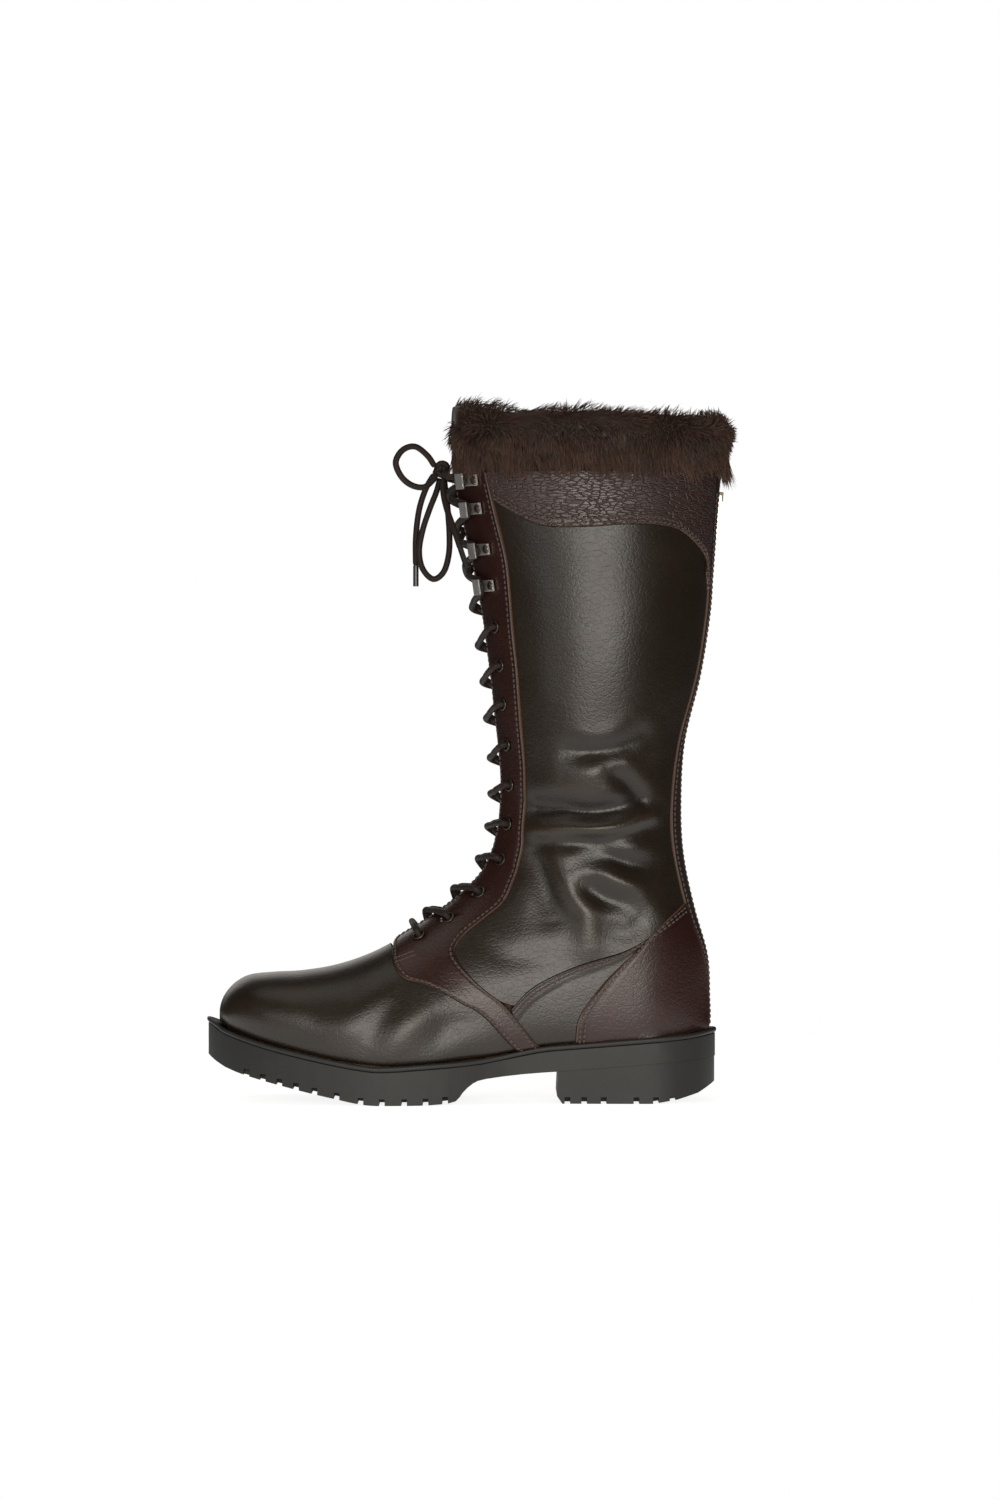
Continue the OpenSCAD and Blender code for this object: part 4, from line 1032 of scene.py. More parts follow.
def vamp_mesh():
    """Toe and instep in one piece, closed at the tip."""
    m, n = 120, 170
    a = np.linspace(-180, 180, n)
    v = np.linspace(0, 1, m)[:, None]
    s = v * vamp_end(a)[None]
    a2 = np.broadcast_to(a, s.shape)
    base = skin(s, a2)
    nrm = normal_at(s, a2)
    side = np.where(a2 < 0, -1, 1)
    crease = np.where(side < 0, folds(base, -1), folds(base, 1))
    gap = np.minimum(edge_gaps(base, ("top",)), FAR)
    fade = np.clip(np.abs(base[..., 1]) / 16, 0, 1)
    crease = crease * fade + (1 - fade) * 0.25 * noise(base, 22)
    crease = crease * np.clip(edge_gaps(base, ("bottom",)) / 20, 0.15, 1)
    outer = base + crease[..., None] * nrm
    inner = base + nrm * (-LEATHER_T)
    middle_out, middle_in = outer[0].mean(0), inner[0].mean(0)
    caps_out = [outer[0] * (1 - t) + middle_out * t - np.array([0.7 * (1 - (1 - t) ** 2), 0, 0])
                for t in TIP_RINGS]
    caps_in = [inner[0] * (1 - t) + middle_in * t for t in TIP_RINGS]
    outer = np.concatenate([np.array(caps_out), outer])
    inner = np.concatenate([np.array(caps_in), inner])
    crease = np.concatenate([np.zeros((len(TIP_RINGS), n)), crease])
    gap = np.concatenate([np.full((len(TIP_RINGS), n), FAR), gap])
    points, faces = closed_shell(outer, inner)
    flat = np.zeros(gap.size)
    layers = {"edge": np.concatenate([gap.ravel(), flat]),
              "fold": np.concatenate([crease.ravel(), flat]), "cut": np.zeros(2 * gap.size)}
    return to_object("vamp", points, faces, "olive_leather", layers=layers,
                     nodes=("vamp",))


def make_panels():
    GRIDS.update(panel_grids())
    vamp_mesh()
    for word, side in SIDES.items():
        panel(f"quarter_{word}", GRIDS["quarter"], side, "olive_leather")
        panel(f"lower_quarter_{word}", GRIDS["lower_quarter"], side, "olive_leather",
              lip=("top", 1.0, 9.0), rows=(2.0, 4.4))
        panel(f"heel_cover_{word}", GRIDS["heel_cover"], side, "trim_leather",
              RAISED_T, ("left", "top"), (2.0, 4.4), 0.6, ease=220)
        panel(f"collar_{word}", GRIDS["collar"], side, "collar_leather",
              RAISED_T, ("bottom",), (2.0, 4.4), 0.6)
        panel(f"eyestay_{word}", GRIDS["eyestay"], side, "trim_leather",
              RAISED_T, ("left", "right"), (2.2,), 1.0, EYELETS)
        panel(f"back_strip_{word}", GRIDS["strip"], side, "strip_leather",
              RAISED_T, ("left", "right"), (2.2,), 0.3)


def stitch_rows():
    """Every row of stitching on one side: places, rise, fold share, lean."""
    eyestay, strip = GRIDS["eyestay"], GRIDS["strip"]
    rows = [(edge_row(eyestay, "left", 2.2), RAISED_T, 1.0, 0),
            (clip_row(edge_row(eyestay, "right", 2.2), 6, 0), RAISED_T, 1.0, 0)]
    rows += [(clip_row(edge_row(strip, edge, 2.2), 2, 10), RAISED_T, 0.3, 0)
             for edge in ("right", "left")]
    for inset, lean in ((2.0, 18), (4.4, -18)):
        lip = 1.0 * (1 - inset / 9) ** 0.7
        rows += [(clip_row(edge_row(GRIDS[panel_name], edge, inset), start, end), rise, fold, turn)
                 for panel_name, edge, start, end, rise, fold, turn in (
                     ("collar", "bottom", 1, 1, RAISED_T, 0.6, lean),
                     ("heel_cover", "left", 0, 1, RAISED_T, 0.6, 0),
                     ("heel_cover", "top", 0, 2, RAISED_T, 0.6, 0),
                     ("lower_quarter", "top", 0, 1, lip, 1.0, 0))]
    return rows


def make_stitching(look):
    template = capsule(look.stitch * 1000 * 0.78, 1.1, 0.95)
    for word, side in SIDES.items():
        lots = []
        for row, rise, fold, lean in stitch_rows():
            frames = stitch_frames(row, side, rise + 0.08, look.stitch * 1000, fold, lean)
            lots.append(many(template, frames, 0.06))
        points, faces = join(lots)
        to_object(f"seam_stitches_{word}", points, faces, "seam_thread", sharp=None)
        tack = []
        for (x0, z0), (x1, z1) in (((-41.6, 79), (-30.2, 83.4)), ((-42.2, 81.2), (-31, 85.4))):
            row = at(np.linspace(x0, x1, 8), np.linspace(z0, z1, 8))
            frames = stitch_frames(row, side, RAISED_T + 0.05, 1.1)
            tack.append(many(capsule(1.5, 0.7, 0.6), frames, 0.2))
        points, faces = join(tack)
        to_object(f"bar_tack_{word}", points, faces, "tack_thread", sharp=None)


# ---------------------------------------------------------------- laces

def sweep(points):
    """Frames carried along a curve without twist."""
    t = unit(np.gradient(points, axis=0))
    u = np.zeros_like(points)
    last = np.array([0, 1, 0.0]) if abs(t[0][1]) < 0.8 else np.array([1, 0, 0.0])
    for i in range(len(points)):
        last = last - (last @ t[i]) * t[i]
        last = last / np.linalg.norm(last)
        u[i] = last
    return t, u, np.cross(t, u)


def even_curve(route, step):
    fine = along(route, np.linspace(0, len(route) - 1, (len(route) - 1) * 24 + 1))
    run = run_length(fine)
    keep = np.linspace(0, run[-1], max(8, int(run[-1] / step)))
    return np.stack([np.interp(keep, run, fine[:, k]) for k in range(3)], -1)


def braided(route, diameter, step=0.6, sides=18, ends=0.7):
    """Tube with crossing strands raised on it; also each point's height in the weave."""
    line = even_curve(route, step)
    _, u, v = sweep(line)
    run = run_length(line)[:, None]
    turn = (np.arange(sides) * 2 * math.pi / sides)[None]
    twist = run * 2 * math.pi / 4.6
    weave = 0.5 + 0.5 * np.cos(3 * turn + 1.5 * twist) * np.cos(3 * turn - 1.5 * twist)
    radius = diameter / 2 * (0.93 + 0.09 * weave)
    close = np.minimum(run, run[-1] - run)
    radius = radius * (ends + (1 - ends) * np.clip(close / 1.2, 0, 1))
    ring = np.cos(turn)[..., None] * u[:, None] + np.sin(turn)[..., None] * v[:, None]
    points = (line[:, None] + radius[..., None] * ring).reshape(-1, 3)
    quads = grid_quads(len(line), sides, closed=True)
    n = len(points)
    caps = np.array([[(k + 1) % sides, k, n, n] for k in range(sides)]
                    + [[n - sides + k, n - sides + (k + 1) % sides, n + 1, n + 1]
                       for k in range(sides)])
    points = np.concatenate([points, line[:1], line[-1:]])
    return line, points, quads, caps, np.concatenate([weave.ravel(), [0.5, 0.5]])


def lace_object(name, lots, nodes=()):
    """One lace piece of one or more braided runs."""
    points, faces, strands, start = [], [], [], 0
    for _, p, quads, caps, weave in lots:
        points.append(p)
        faces += (quads + start).tolist() + (caps[:, :3] + start).tolist()
        strands.append(weave)
        start += len(p)
    mesh = bpy.data.meshes.new(name)
    mesh.from_pydata((np.concatenate(points) * MM).tolist(), [], faces)
    mesh.shade_smooth()
    layer = mesh.attributes.new("strand", "FLOAT", "POINT")
    layer.data.foreach_set("value", np.concatenate(strands).astype(np.float32))
    piece = bpy.data.objects.new(name, mesh)
    bpy.context.collection.objects.link(piece)
    mesh.materials.append(finish("lace_braid"))
    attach(piece, BODY)
    if nodes:
        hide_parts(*nodes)
    return piece


def free_cord(name, route, diameter, nodes=()):
    lot = braided(route, diameter)
    piece = lace_object(name, [lot], nodes)
    line = lot[0]
    (line[0] * MM).tolist()
    (line * MM).tolist()
    return piece


def make_laces(look):
    d = look.lace_width * 1000
    knot_turns = np.linspace(0, 2.3 * 2 * math.pi, 44)
    knot = np.stack([KNOT[0] + 3.1 * np.cos(knot_turns), np.linspace(-2.6, 2.6, 44),
                     KNOT[2] + 3.3 * np.sin(knot_turns)], -1)
    wrap = np.linspace(-0.5, 1.6 * math.pi, 24)
    band = np.stack([KNOT[0] - 0.6 + 3.6 * np.cos(wrap) * 0.9, 3.3 * np.sin(wrap) * 0.8,
                     KNOT[2] - 0.4 + 2.2 * np.cos(wrap + 0.8)], -1)
    knot = lace_object("lace_knot", [braided(knot, d), braided(band, d)], ("lace_knot",))
    for name, tail in (("tail_long", TAIL_LONG), ("tail_short", TAIL_SHORT)):
        free_cord(f"lace_{name}", tail, d, ("lace_tails",))
    free_cord("bow_loop_short", LOOP_SHORT, d, ("lace_bow",))
    free_cord("bow_loop_long", LOOP_LONG, d, ("lace_bow",))
    lace_object("lacing", [braided(lacing_route(), d, 0.62, 14)], ("lacing",))
    keep_node("aglets", "aglet_tip", 0.25)


# ---------------------------------------------------------------- carried-over parts

def smoother():
    """Modifier nodes that weld a part, shade it smooth and keep edges over 32 degrees sharp."""
    name = "smooth_rounds"
    if name in bpy.data.node_groups:
        return bpy.data.node_groups[name]
    group = bpy.data.node_groups.new(name, "GeometryNodeTree")
    group.interface.new_socket("Geometry", in_out="INPUT", socket_type="NodeSocketGeometry")
    group.interface.new_socket("Geometry", in_out="OUTPUT", socket_type="NodeSocketGeometry")
    start, end = group.nodes.new("NodeGroupInput"), group.nodes.new("NodeGroupOutput")
    weld = group.nodes.new("GeometryNodeMergeByDistance")
    weld.inputs["Distance"].default_value = 0.000002
    faces = group.nodes.new("GeometryNodeSetShadeSmooth")
    edges = group.nodes.new("GeometryNodeSetShadeSmooth")
    edges.domain = "EDGE"
    edges.inputs["Shade Smooth"].default_value = False
    angle = group.nodes.new("GeometryNodeInputMeshEdgeAngle")
    sharp = group.nodes.new("FunctionNodeCompare")
    sharp.inputs[1].default_value = math.radians(32)
    for a, b in ((start.outputs[0], weld.inputs[0]), (weld.outputs[0], faces.inputs[0]),
                 (faces.outputs[0], edges.inputs[0]), (angle.outputs[0], sharp.inputs[0]),
                 (sharp.outputs[0], edges.inputs[1]), (edges.outputs[0], end.inputs[0])):
        group.links.new(a, b)
    return group


def keep_node(node, material, bevel=0.2, segments=2):
    """A CAD part that stays: softened edges and its detailed finish."""
    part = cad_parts[node]
    part.modifiers.new("smooth_rounds", "NODES").node_group = smoother()
    while part.data.materials:
        part.data.materials.pop()
    part.data.materials.append(finish(material))
    if bevel:
        soft = part.modifiers.new("soft_edges", "BEVEL")
        soft.width = bevel * MM
        soft.segments = segments
        soft.limit_method = "ANGLE"
        soft.angle_limit = math.radians(35)
        soft.harden_normals = True
    return part


SOLE_OUTLINE = np.array([
    [-149.3, 6], [-145, -13], [-131, -30], [-108, -43], [-75, -52], [-45, -54.5], [-12, -49],
    [20, -39], [50, -36], [80, -37.5], [108, -37], [127, -28], [137, -14], [140.4, 0], [137, 14],
    [127, 28], [106, 36.5], [78, 34.5], [50, 32], [20, 32], [-15, 38.5], [-45, 47], [-70, 50],
    [-98, 48], [-122, 40], [-139, 26]])
# Section of the welt lip: how far out of the sole's side, and height over the welt line
WELT_SECTION = [(-9.6, -2.9), (-9.6, -0.2), (-6, -0.1), (-2.2, 0.0), (-1.0, 0.35), (-0.2, 0.3),
                (0.45, -0.1), (0.7, -0.7), (0.7, -1.5), (0.45, -2.1), (-0.1, -2.45), (-0.9, -2.6),
                (-1.1, -3.2), (-1.2, -3.4), (-4, -3.3)]


def make_welt():
    """Rubber lip all round, rounded on top and undercut by a groove."""
    wrapped = np.concatenate([SOLE_OUTLINE[-2:], SOLE_OUTLINE, SOLE_OUTLINE[:3]])
    count = len(SOLE_OUTLINE) * 14
    line = along(wrapped, 2 + np.arange(count) / 14)
    step = np.roll(line, -1, 0) - np.roll(line, 1, 0)
    out = unit(np.stack([-step[:, 1], step[:, 0]], -1))
    if (out * line).sum() < 0:
        out = -out
    fine = along(WELT_LINE, np.linspace(0, len(WELT_LINE) - 1, 300))
    section = np.array(WELT_SECTION)
    plan = line[:, None] + out[:, None] * section[None, :, :1]
    top = np.interp(plan[..., 0], fine[:, 0], fine[:, 1])
    points = np.concatenate([plan, (top + section[None, :, 1])[..., None]], -1)
    n = len(section)
    faces = []
    for i in range(count):
        for j in range(n):
            a, b = i * n + j, i * n + (j + 1) % n
            c, d = ((i + 1) % count) * n + (j + 1) % n, ((i + 1) % count) * n + j
            faces.append([a, b, c, d])
    to_object("welt", points.reshape(-1, 3), faces, "sole_rubber",
              nodes=("welt",), sharp=70)


def make_sole():
    keep_node("outsole", "sole_rubber", 0.7, 3)
    keep_node("heel_block", "sole_rubber", 0.8, 3)
    make_welt()
    keep_node("cork_filler", "cork", 0)
    keep_node("insole_board", "board_fibre", 0.3)
    keep_node("shank", "bright_steel", 0.2)
    keep_node("toe_puff", "board_fibre", 0)
    keep_node("heel_stiffener", "board_fibre", 0)


def make_hardware():
    for word in SIDES:
        keep_node(f"eyelets_{word}", "gunmetal", 0.12)
        keep_node(f"hooks_{word}", "bright_steel", 0.22, 3)
    keep_node("hook_rivets", "gunmetal", 0.15)


# ---------------------------------------------------------------- zip

TAPE = (-LEATHER_T - 1.1, -LEATHER_T - 0.3)
ZIP_FOOT, TEETH_TOP = 62.0, SHAFT_TOP - 1
# Spacing of the teeth, their distance from the zip's middle, and their height over the tape
TOOTH_PITCH, TOOTH_OUT, TOOTH_LIFT = 2.6, 1.75, 0.7


def tooth(length, width, height):
    """A moulded tooth with a rounded nose: x along the zip, y across, z out."""
    rings = []
    for x, k in ((-0.5, 0.55), (-0.38, 0.92), (0, 1.0), (0.38, 0.92), (0.5, 0.55)):
        for y, z in ((-0.5, -0.4), (-0.42, 0.42), (0, 0.55), (0.42, 0.42), (0.5, -0.4), (0, -0.5)):
            rings.append([x * length, y * width * k, z * height * k])
    return np.array(rings), grid_quads(5, 6, closed=True)


def make_zip():
    """Tapes behind the strips, teeth along their inner edges, and the metal pieces."""
    for word, side in SIDES.items():
        heights = np.linspace(ZIP_FOOT - 4, SHAFT_TOP, 90)
        outer = np.array([[back(z, half) for half in np.linspace(1.2, 9, 9)] for z in heights])
        s, a = outer[..., 0], outer[..., 1]
        ribs = 0.06 * np.sin(heights * 2 * math.pi / 1.6)[:, None] * np.ones(9)
        n = normal_at(s, side * a)
        top = skin(s, side * a) + n * (TAPE[1] + ribs)[..., None]
        under = skin(s, side * a) + n * TAPE[0]
        points, faces = closed_shell(top, under, side < 0)
        to_object(f"zip_tape_{word}", points, faces, "zip_cloth",
                  nodes=(f"zip_tape_{word}",))
        zs = np.arange(ZIP_FOOT + (TOOTH_PITCH / 2 if side > 0 else 0), TEETH_TOP, TOOTH_PITCH)
        centre, t, b, out = [], [], [], []
        for z in zs:
            place = back(z, TOOTH_OUT)
            p = off(place[0], side * place[1], TAPE[1] + TOOTH_LIFT)
            up = unit(off(*(back(z + 1.5, TOOTH_OUT) * [1, side]), TAPE[1] + TOOTH_LIFT) - p)
            normal = normal_at(place[0], side * place[1])
            across = unit(np.cross(normal, up))
            centre.append(p)
            t.append(up)
            b.append(across)
            out.append(normal)
        frames = tuple(np.array(v) for v in (centre, t, b, out))
        points, faces = many(tooth(1.5, 3.3, 1.3), frames)
        to_object(f"zip_teeth_{word}", points, faces, "gunmetal",
                  nodes=(f"zip_teeth_{word}",), sharp=40)
    keep_node("zip_stop", "gunmetal", 0.25)
    keep_node("zip_slider", "gunmetal", 0.3, 3)
    keep_node("zip_pull", "bright_steel", 0.3, 3)


# ---------------------------------------------------------------- linings, tongue and footbed

def curled(points, normals, rise, scale=3.2):
    """Points pushed out in small tufts."""
    tufts = noise(points, scale) * 0.6 + noise(points + 31, scale * 0.45) * 0.4
    return points + normals * (rise * tufts)[..., None]


def lining(name, s, a, side, low, high, rise=0.7, material="lining_fleece", slot="fleece"):
    base, n = skin(s, side * a), normal_at(s, side * a)
    top = curled(base + n * high, n, 0.25)
    inner = curled(base + n * low, n, rise)
    points, faces = closed_shell(top, inner, side < 0)
    gap = np.full(len(points), FAR)
    zero = np.zeros(len(points))
    return to_object(name, points, faces, material, sharp=None,
                     layers={"edge": gap, "fold": zero, "cut": zero}, nodes=(name,))


def make_linings():
    for word, side in SIDES.items():
        a = np.linspace(46, 172, 120)
        low = np.maximum(vamp_end(a) + 0.1, 8.8)
        s = low + (27.35 - low) * np.linspace(0, 1, 170)[:, None]
        lining(f"shaft_lining_{word}", s, np.broadcast_to(a, s.shape), side, LINING[0],
               LINING[1] - 1.7)
    a = np.linspace(-176, 176, 150)
    s = 0.4 + (vamp_end(a) - 0.45) * np.linspace(0, 1, 80)[:, None]
    lining("vamp_lining", s, np.broadcast_to(a, s.shape), 1, LINING[0], LINING[1] - 0.8)


def make_tongue():
    a = np.linspace(-39, 39, 60)
    s = (8.62 + np.linspace(0, 1, 190) * 18.7)[:, None] * np.ones(60)
    a = np.broadcast_to(a, s.shape)
    base, n = skin(s, a), normal_at(s, a)
    gap = edge_gaps(base, ("left", "right", "top"))
    crease = 0.5 * noise(base, 16) + 0.25 * noise(base + 20, 6)
    top = base + n * (TONGUE[1] - 0.4 + edge_round(gap, 0.9) + 0.6 * crease)[..., None]
    under = base + n * TONGUE[0]
    points, faces = closed_shell(top, under)
    flat = np.zeros(gap.size)
    to_object("tongue", points, faces, "olive_leather",
              layers={"edge": np.concatenate([gap.ravel(), flat]),
                      "fold": np.concatenate([crease.ravel(), flat]),
                      "cut": np.ones(2 * gap.size)}, nodes=("tongue",))
    a = np.linspace(-37.5, 37.5, 60)
    s = (8.9 + np.linspace(0, 1, 190) * 18.9)[:, None] * np.ones(60)
    lining("tongue_lining", s, np.broadcast_to(a, s.shape), 1, *TONGUE_LINING)


BOARD_T = 2.4


def make_footbed():
    """Fleece footbed: the plan of its CAD solid, with a tufted top."""
    low, high = (np.array(v) * 1000 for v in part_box("footbed"))
    source = np.array([v.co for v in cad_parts["footbed"].data.vertices]) * 1000
    m, n = 110, 40
    xs = np.linspace(low[0] + 0.4, high[0] - 0.4, m)
    rows = []
    for x in xs:
        near = source[np.abs(source[:, 0] - x) < 9]
        half = np.array([near[:, 1].min(), near[:, 1].max()])
        base = near[:, 2].min()
        end = math.sqrt(max(0.03, 1 - ((2 * (x - low[0]) / (high[0] - low[0]) - 1)) ** 24))
        y = half.mean() + (half[1] - half[0]) / 2 * np.linspace(-1, 1, n) * end * 0.985
        rows.append(np.stack([np.full(n, x), y, np.full(n, base)], -1))
    top, under = np.array(rows), np.array(rows)
    board_top = np.array([along_line(r[0, 0]) for r in top])[:, None] + 0.3 + BOARD_T
    gap = edge_gaps(top, ("left", "right", "top", "bottom"))
    top[..., 2] = board_top + 4.3 + edge_round(gap, 2.0)
    under[..., 2] = board_top + 0.1
    up = np.zeros_like(top)
    up[..., 2] = 1
    top = curled(top, up, 0.3)
    points, faces = closed_shell(top, under)
    return to_object("footbed", points, faces, "lining_fleece", nodes=("footbed",),
                     sharp=None)


WELT_LINE = np.array([
    [-160, 52], [-144.6, 44.9], [-138.7, 41.3], [-117.6, 34.5], [-96.4, 29.3], [-75, 24.8],
    [-59.4, 22.2], [-48.8, 21.4], [-27.6, 22.6], [6, 25.4], [39.2, 31.6], [57.2, 33.3],
    [89, 35.9], [120.7, 38.6], [137.6, 41], [150, 42.5]])


def along_line(x):
    fine = along(WELT_LINE, np.linspace(0, len(WELT_LINE) - 1, 200))
    return float(np.interp(x, fine[:, 0], fine[:, 1]))


# ---------------------------------------------------------------- fur

def field(points, scale, seed):
    """Smooth random directions."""
    return np.stack([noise(points + seed + k * 37.7, scale) for k in range(3)], -1)


# Thickness of a strand from its root to its tip, as shares of its width
TAPER = (0.8, 1.0, 0.85, 0.55, 0.12)


def strands(name, roots, normals, comb, length, width, seed, nodes=(), droop=0.35, clump=5.5):
    """Pile of tapered strands, combed one way and pulled into locks."""
    rng = np.random.default_rng(seed)
    n, rings = len(roots), len(TAPER)
    flow = comb + 0.55 * field(roots, clump * 2.4, seed)
    lean = unit(normals * (0.55 + 0.25 * rng.random((n, 1))) + flow
                + 0.16 * rng.normal(size=(n, 3)))
    lock = np.round(roots / clump) * clump
    reach = length * (0.72 + 0.5 * rng.random((n, 1))) * (1 + 0.22 * noise(roots, 9)[:, None])
    toward = unit(lock + lean * length - roots)
    share = np.linspace(0, 1, rings)[None, :, None]
    way = unit(lean[:, None] * (1 - 0.45 * share) + toward[:, None] * 0.45 * share
               + np.array([0, 0, -1.0]) * droop * share ** 1.5
               + 0.12 * field(roots, 3, seed + 5)[:, None] * share)
    steps = way * reach[:, None] / (rings - 1)
    spine = roots[:, None] + np.concatenate([np.zeros((n, 1, 3)), np.cumsum(steps[:, :-1], 1)], 1)
    side = unit(np.cross(way, normals[:, None] + 0.3 * rng.normal(size=(n, 1, 3))))
    up = np.cross(side, way)
    thick = width * (0.7 + 0.6 * rng.random((n, 1, 1))) * np.array(TAPER)[None, :, None]
    corner = [side * 0.5, -side * 0.5, up * 0.45]
    points = np.stack([spine + c * thick for c in corner], 2)
    verts = points.reshape(-1, 3)
    base = np.arange(n)[:, None] * rings * 3
    ring = [[r * 3 + k, r * 3 + (k + 1) % 3, (r + 1) * 3 + (k + 1) % 3, (r + 1) * 3 + k]
            for r in range(rings - 1) for k in range(3)]
    faces = (base[:, :, None] + np.array(ring)[None]).reshape(-1, 4)
    tip = np.broadcast_to(np.repeat(np.linspace(0, 1, rings), 3), (n, rings * 3)).ravel()
    tone = np.repeat(np.clip(rng.random(n) * 0.6 + 0.4 * (0.5 + 0.5 * noise(lock, 6)), 0, 1),
                     rings * 3)
    return to_object(name, verts, faces, "cuff_pile", layers={"tip": tip, "tone": tone},
                     sharp=None, nodes=nodes)


def cuff_places(side, count, seed):
    """Roots over the roll: even around the mouth and around its section."""
    rng = np.random.default_rng(seed)
    first, last = 15, 177.5
    a = first + (last - first) * (np.arange(count) + rng.random(count)) / count
    turn = rng.random(count) * 2 * math.pi
    turn = np.where(rng.random(count) < 0.4, math.pi * (0.35 + 0.45 * rng.random(count)), turn)
    lump = 1 + 0.20 * noise(np.stack([a / 2.2, turn * 8 * side, turn * 0], -1), 6)
    return a, turn, lump


# Place of the roll's middle up the shaft, and how far it stands out from the leather
ROLL_S, ROLL_OUT = 27.86, 4.2


def cuff_point(a, turn, side, grow=1.0):
    """Point of the roll's surface: turn 0 is its top, a quarter turn its outside."""
    front_fade = np.clip((a - 12) / 14, 0.35, 1)
    tufts = noise(np.stack([a / 3 + 40 * side, turn * 0, turn * 0], -1), 3)
    hang = 0.78 + 0.26 * np.clip((a - 100) / 50, 0, 1)
    rise = 0.80 - 0.26 * np.clip((a - 32) / 26, 0, 1) - 0.10 * np.clip((a - 110) / 50, 0, 1) \
        + 0.07 * tufts
    s = ROLL_S + np.where(np.cos(turn) > 0, rise, hang) * np.cos(turn) * grow
    d = ROLL_OUT * np.sin(turn) * grow * front_fade
    return off(s, side * a, d)


# Strands of the fringe under each half of the roll, and the width of a strand
FRINGE, STRAND_W = 1900, 0.62


def cuff_ground(word, side):
    """The roll under the pile, closed at both ends."""
    m, n = 120, 26
    a = np.linspace(14.5, 178, m)[:, None] * np.ones(n)
    turn = np.broadcast_to(np.linspace(0, 2 * math.pi, n, endpoint=False), (m, n))
    ring = cuff_point(a, turn, side, 0.95)
    ring = curled(ring, unit(ring - ring.mean(1, keepdims=True)), 0.5, 5)
    ends = []
    for first, turned in ((0, side > 0), ((m - 1) * n, side < 0)):
        for j in range(1, n - 2, 2):
            cell = [first, first + j, first + j + 1, first + j + 2]
            ends.append(cell[::-1] if turned else cell)
    quads = grid_quads(m, n, closed=True, flip=side > 0)
    to_object(f"cuff_ground_{word}", ring.reshape(-1, 3), np.concatenate([quads, ends]),
              "cuff_pile", sharp=None, nodes=(f"fur_cuff_{word}",))


def cuff_strands(word, side, count, pile_mm, seeds):
    """Pile over the roll: combed back, down its outside, shorter behind."""
    a, turn, lump = cuff_places(side, count, seeds[0])
    roots = cuff_point(a, turn, side, 0.94 * np.clip(lump, 0.96, 1.2))
    normals = unit(roots - cuff_point(a, turn, side, 0.02))
    outer = np.clip(np.sin(turn), 0, 1)[:, None]
    top = np.clip(np.cos(turn), 0, 1)[:, None]
    low = np.clip(-np.cos(turn), 0, 1)[:, None]
    behind = np.clip((roots[:, :1] - 85) / 50, 0, 1)
    lean_back = (1 - 0.9 * behind) * (0.30 + 0.35 * top)
    comb = np.array([1.0, 0, 0]) * lean_back + np.array([0, 0, -1.0]) * (0.45 * outer + 0.7 * low) \
        - normals * 0.25 * top + normals * 0.25 * low
    tuft = 0.5 + 0.5 * noise(roots * np.array([1, 1, 0.2]) + 7, 7)[:, None]
    length = pile_mm * ((0.72 + 0.36 * tuft) * (1 - 0.35 * behind))
    strands(f"cuff_strands_{word}", roots, normals, comb, length, STRAND_W, seeds[1],
            (f"fur_cuff_{word}",))


def cuff_fringe(word, side, seeds):
    """Longer strands that hang over the collar's top edge."""
    rng = np.random.default_rng(seeds[0])
    a = 17 + 159 * rng.random(FRINGE)
    s = 27.05 + 0.42 * rng.random(FRINGE)
    roots = off(s, side * a, 1.7 + 1.6 * rng.random(FRINGE))
    tuft = 0.5 + 0.5 * noise(roots * np.array([1, 1, 0.1]) + 3, 5)
    comb = np.array([0.25, 0, -1.9]) + np.zeros((FRINGE, 3))
    strands(f"cuff_fringe_{word}", roots, normal_at(s, side * a) * 0.5, comb,
            (8.0 + 6.0 * tuft)[:, None], STRAND_W, seeds[1])


def make_cuff(look):
    count = look.strands
    for k, (word, side) in enumerate(SIDES.items()):
        cuff_ground(word, side)
        cuff_strands(word, side, count, look.pile * 1000, (11 + k, 21 + k))
        cuff_fringe(word, side, (41 + k, 61 + k))


def make_tongue_pile():
    """Fleece showing along the edges and top of the tongue."""
    rng = np.random.default_rng(5)
    count = 2600
    edge = rng.random(count) < 0.55
    side = np.where(rng.random(count) < 0.5, -1, 1)
    s = np.where(edge, 19.5 + rng.random(count) * 7.6, 26.6 + rng.random(count) * 1.0)
    a = np.where(edge, side * (24 + rng.random(count) * 13), (rng.random(count) * 2 - 1) * 37)
    d = np.where(edge, TONGUE[1] - rng.random(count) * 0.5, TONGUE[1] - rng.random(count) * 5)
    roots, n = off(s, a, d), normal_at(s, a)
    comb = np.array([-0.35, 0, 0.25]) + np.zeros((count, 3))
    comb[:, 1] += 0.3 * np.sign(a)
    strands("tongue_pile", roots, n * 0.6 + np.array([0, 0, 0.2]), comb, 5.0, 0.5, 9)


# ---------------------------------------------------------------- light, floor and camera

def soft_light(name, place, aim, size, power, colour=(1, 1, 1)):
    light = bpy.data.lights.new(name, "AREA")
    light.shape = "RECTANGLE"
    light.size, light.size_y = size
    light.energy = power
    light.color = colour
    lamp = bpy.data.objects.new(name, light)
    lamp.location = place
    lamp.rotation_euler = (Vector(aim) - Vector(place)).to_track_quat("-Z", "Y").to_euler()
    lamp.visible_camera = False
    bpy.context.collection.objects.link(lamp)
    return lamp


